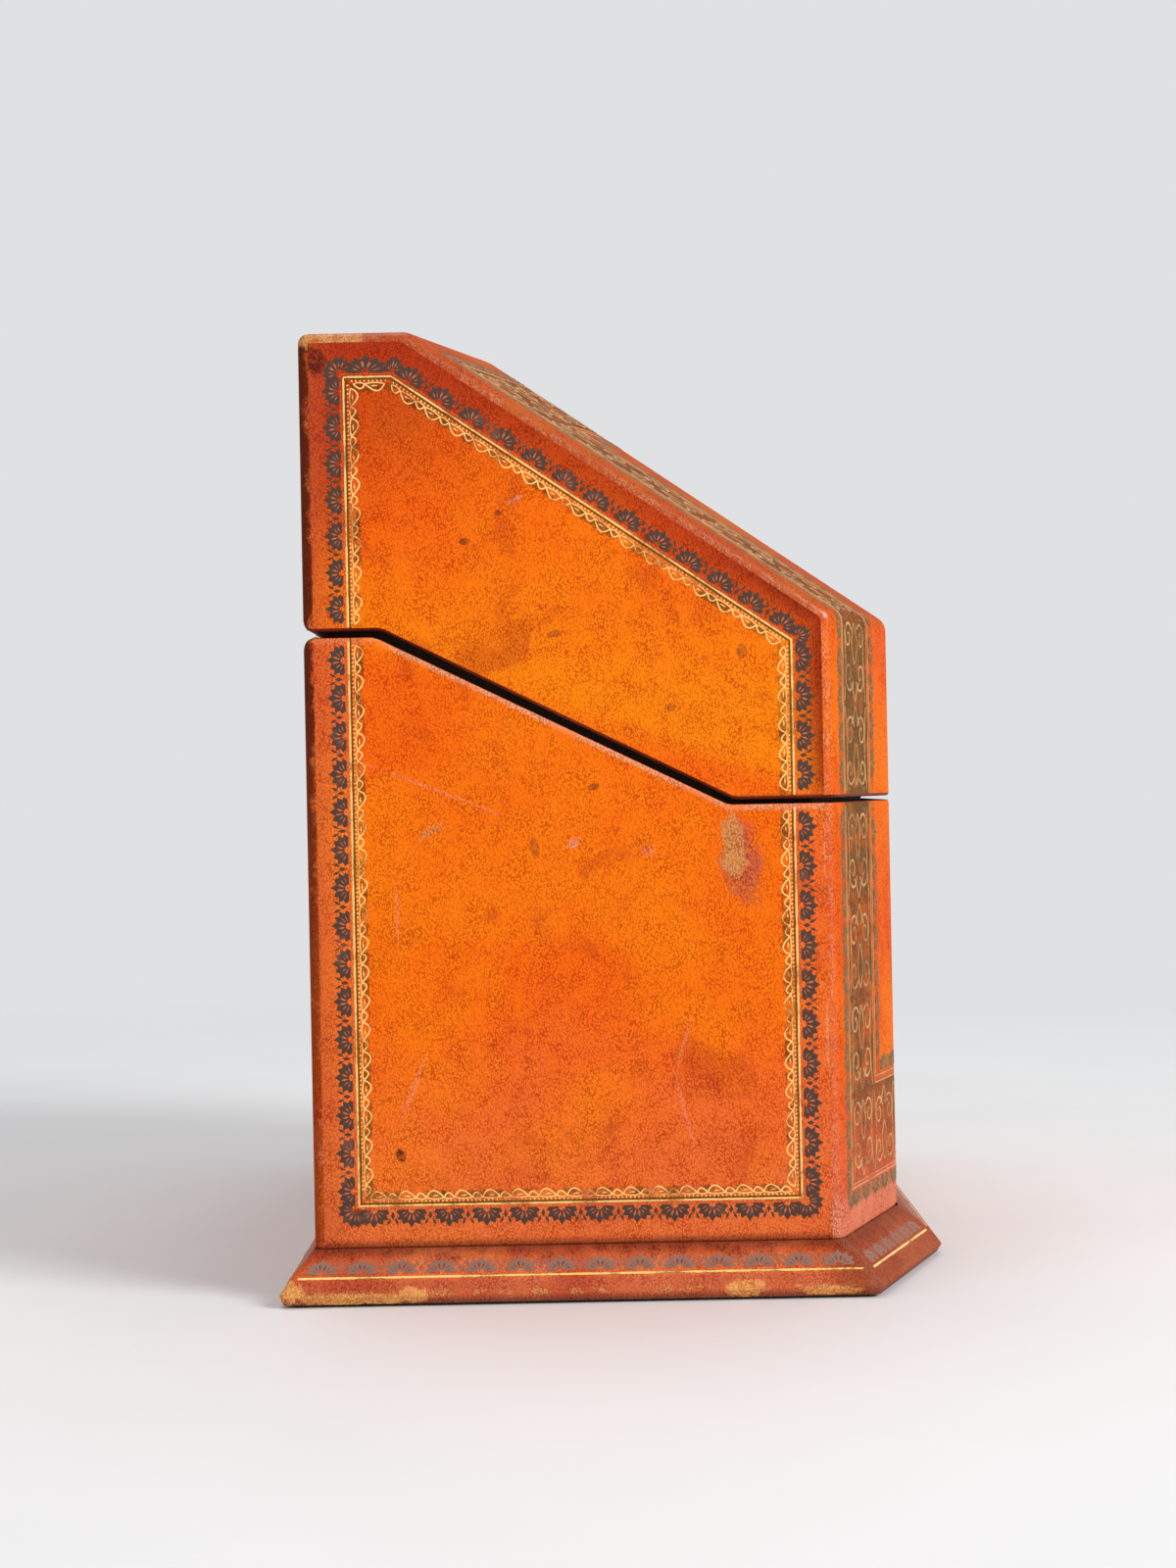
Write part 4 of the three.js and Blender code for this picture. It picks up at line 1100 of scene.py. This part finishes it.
def silk():
    """Ribbed silk lining in dull gold: fine cords, slubs along them, a little fading, and painted shade on the
    lip that stands in the parting line."""
    finish = Finish("ribbed_silk", (168, 122, 72))
    cord = finish.sum("SINE", (finish.x + finish.depth + finish.height * 0.002) * (2 * math.pi / 0.7))
    slub = finish.fade(finish.clouds(1, 2, 0.5, finish.stretched(0.6, 0.6, 9)), 0.6, 0.75)
    finish.paint(finish.fade(finish.clouds(45, 3), 0.35, 0.65), (190, 146, 92))
    finish.paint(finish.fade(cord, 0.2, -1, 0, 0.45), (110, 70, 38))
    finish.paint(slub * 0.18, (214, 178, 124))
    # Painted shade: near-black where the silk stands in the parting gap
    lip = finish.fade(abs(finish.height - finish.parting() - 1), 3.4, 2.2)
    finish.paint(lip * 0.95, (38, 22, 15))
    return finish.surface(0.55 - slub * 0.12, cord * 0.06, Specular_IOR_Level=0.2)


def card():
    """Dividers covered in a thinner and paler leather with a fine grain."""
    finish = Finish("divider_leather", (180, 84, 36))
    grain, cloud = finish.fade(finish.pebbles(0.9), 0.2, 0.6), finish.clouds(22, 3)
    finish.paint(finish.fade(cloud, 0.35, 0.65), (202, 102, 44))
    finish.paint(grain * 0.4, (126, 50, 20))
    return finish.surface(0.5 + cloud * 0.1, grain * -0.05, Specular_IOR_Level=0.25)


def felt():
    finish = Finish("green_baize", (34, 62, 40))
    fibre = finish.clouds(0.8, 4, 0.75, bend=1.2)
    finish.paint(finish.fade(fibre, 0.35, 0.65), (62, 96, 62))
    return finish.surface(0.95 - fibre * 0.1, fibre * 0.25, Specular_IOR_Level=0.1)


def dull_brass():
    finish = Finish("dulled_brass", (206, 166, 96))
    tarnish = finish.clouds(5, 4, 0.65)
    brushed = finish.clouds(1, 2, 0.5, finish.stretched(6, 0.12, 0.12))
    finish.paint(finish.fade(tarnish, 0.4, 0.66), (132, 98, 52))
    return finish.surface(0.3 + tarnish * 0.25, brushed * 0.03, 1.0 - tarnish * 0.2)


def make_finishes():
    return dict(
        side=calf("side_leather", ORANGE, DEEP_ORANGE, BRIGHT_ORANGE, side_zones),
        front=calf("front_leather", (236, 112, 8), (226, 94, 8), (250, 134, 14), front_zones, 0.5, 0.04),
        rim=calf("rim_leather", (120, 46, 24), (96, 30, 16), (160, 72, 40)),
        plinth=calf("plinth_leather", (228, 118, 64), (202, 86, 44), (240, 140, 88), plinth_zones),
        side_roll=pressed("side_roll", (76, 54, 44), (208, 106, 62), (132, 84, 64)),
        front_roll=pressed("front_roll", (106, 80, 42), (196, 106, 46), (142, 102, 60)),
        plinth_roll=pressed("plinth_roll", (142, 102, 86), (112, 44, 30), (152, 76, 52)),
        gilt=gilding("gilt", (246, 206, 120), (150, 108, 44), 0.4, 0.3),
        front_gilt=gilding("front_gilt", (204, 148, 80), (140, 98, 50), 0.44, 0.1),
        wood=timber(), lining=silk(), divider_card=card(), baize=felt(), brass=dull_brass())


def dress_nodes():
    """Gives every CAD node that shows the finish named in its slot."""
    for piece in bpy.data.objects:
        for slot in piece.material_slots:
            if slot.material and slot.material.name in ("wood", "lining", "divider_card", "baize", "brass"):
                slot.material = finishes[slot.material.name]


# Pieces

OUTER_RIM_ROWS = 3


def build_box_cover():
    """Leather of the box: loops from the foot up the outside, over the rim and down inside, joined round."""
    rounding = [loop(layer, RIM_ROUNDING, share=0.0, low=FOOT + lift)
                for layer, lift in quarter_turn(FOOT_ROUNDING)[::-1]]
    walls = [loop(0, RIM_ROUNDING, share=share, low=FOOT + FOOT_ROUNDING) for share in UPRIGHT[1:-1]]
    inside = [loop(LEATHER, LEATHER, under=True, share=share, low=FOOT) for share in UPRIGHT[-2::-1]]
    rows = rounding + walls + rim_strip(False) + inside
    on_rim = np.arange(len(rows)) >= len(rounding) + len(walls) + OUTER_RIM_ROWS
    ends = len(SIDE_SHARES)
    right = ends + len(columns(0)[0])
    number = np.ones(len(rows[0]), int)
    number[:ends - 1] = number[right:right + ends - 1] = 0
    number = np.where(on_rim[:, None], 2, number).ravel()
    skin("box_cover", "box", [(np.stack(rows), number, True, True)], ["side", "front", "rim"],
         ["box_left_leather", "box_right_leather", "box_front_leather", "box_back_leather"])


def build_lid_cover():
    sheet, sides = roof_sheet(0, RIM_ROUNDING, False)
    inner_sheet, inner_sides = roof_sheet(LEATHER, LEATHER, True)
    grids = [(sheet, 1), *((side, 0) for side in sides), (np.stack(rim_strip(True)), 2, False, True),
             (inner_sheet, 2), *((side, 2) for side in inner_sides)]
    skin("lid_cover", "lid", grids, ["side", "front", "rim"],
         ["lid_left_leather", "lid_right_leather", "lid_back_leather", "lid_top_leather"])


def build_plinth_cover():
    grid = np.stack([plan_ring(point.real, point.imag) for point in plinth_section()])
    skin("plinth_cover", "box", [(grid, 0, True, True)], ["plinth"], ["plinth_leather"])


def build_side_tooling():
    """Both sides: the roll outside the gilt line, the line, the vine, and a row of beads between them."""
    cell, dot = vine(), bead()
    for side, sign in (("left", -1), ("right", 1)):
        surface = on_side(sign)
        for at, body in enumerate(BODIES):
            base, gilt, beads, inner = (
                side_frame(inward)[at] for inward in (ROLL_BASE, 0, BEAD_LINE, VINE_BASE))
            tooling(f"{body}_{side}_roll", body, fan_roll(base, surface), "side_roll")
            tooling(f"{body}_{side}_gilding", body, [
                drawn_line(gilt, SIDE_LINE_WIDTH, CREST, surface),
                *rolled(cell, inner, VINE_PITCH, surface, trim=0.8, cornered=False),
                *rolled(dot, beads, BEAD_PITCH, surface, trim=0.5, cornered=False)], "gilt")


def build_front_tooling():
    """The front: roll, double line, a band of scrolls and leaves, double line, and a roll that faces in."""
    scroll, spray = arabesque(), acanthus()
    for at, body in enumerate(BODIES):
        rolls = fan_roll(front_frame(ROLL_BASE)[at], on_front)
        rolls += fan_roll(front_frame(INNER_ROLL)[at], on_front, outward=-1, trim=2.5, cornered=False)
        tooling(f"{body}_front_rolls", body, rolls, "front_roll")
        lines = [drawn_line(front_frame(inward)[at], width, LOW_CREST, on_front)
                 for inward, width in FRONT_LINES]
        squares = band_squares(at)
        tooling(f"{body}_front_scrolls", body, lines + patterned(scroll, squares), "front_gilt")
        tooling(f"{body}_front_leaves", body, patterned(spray, squares), "front_roll")


def build_back_tooling():
    for at, body in enumerate(BODIES):
        tooling(f"{body}_back_roll", body, fan_roll(back_frame(ROLL_BASE)[at], on_back), "side_roll")
        tooling(f"{body}_back_gilding", body, [
            drawn_line(back_frame(inward)[at], width, LOW_CREST, on_back) for inward, width in BACK_LINES],
            "gilt")


def build_plinth_tooling():
    """The roll stands on the bevel's lower half with its lobes up, over one gilt line at the bevel's foot."""
    rolls, lines = [], []
    for side in range(6):
        surface, length = on_bevel(side)
        ends = np.array([-length / 2, length / 2])
        rolls += fan_roll(ends + BEVEL_ROLL * 1j, surface, outward=-1, trim=3.2, cornered=False)
        line = ends * (1 - 2 * BEVEL_LINE_END / length) + BEVEL_LINE * 1j
        lines.append(drawn_line(line, BEVEL_LINE_WIDTH, HIGH_CREST, surface))
    tooling("plinth_roll", "box", rolls, "plinth_roll")
    tooling("plinth_gilding", "box", lines, "gilt")


bpy.context.scene.view_settings.view_transform = "Standard"
make_camera()
make_light()
make_floor()
finishes = make_finishes()
dress_nodes()
build_box_cover()
build_lid_cover()
build_plinth_cover()
build_side_tooling()
build_front_tooling()
build_back_tooling()
build_plinth_tooling()
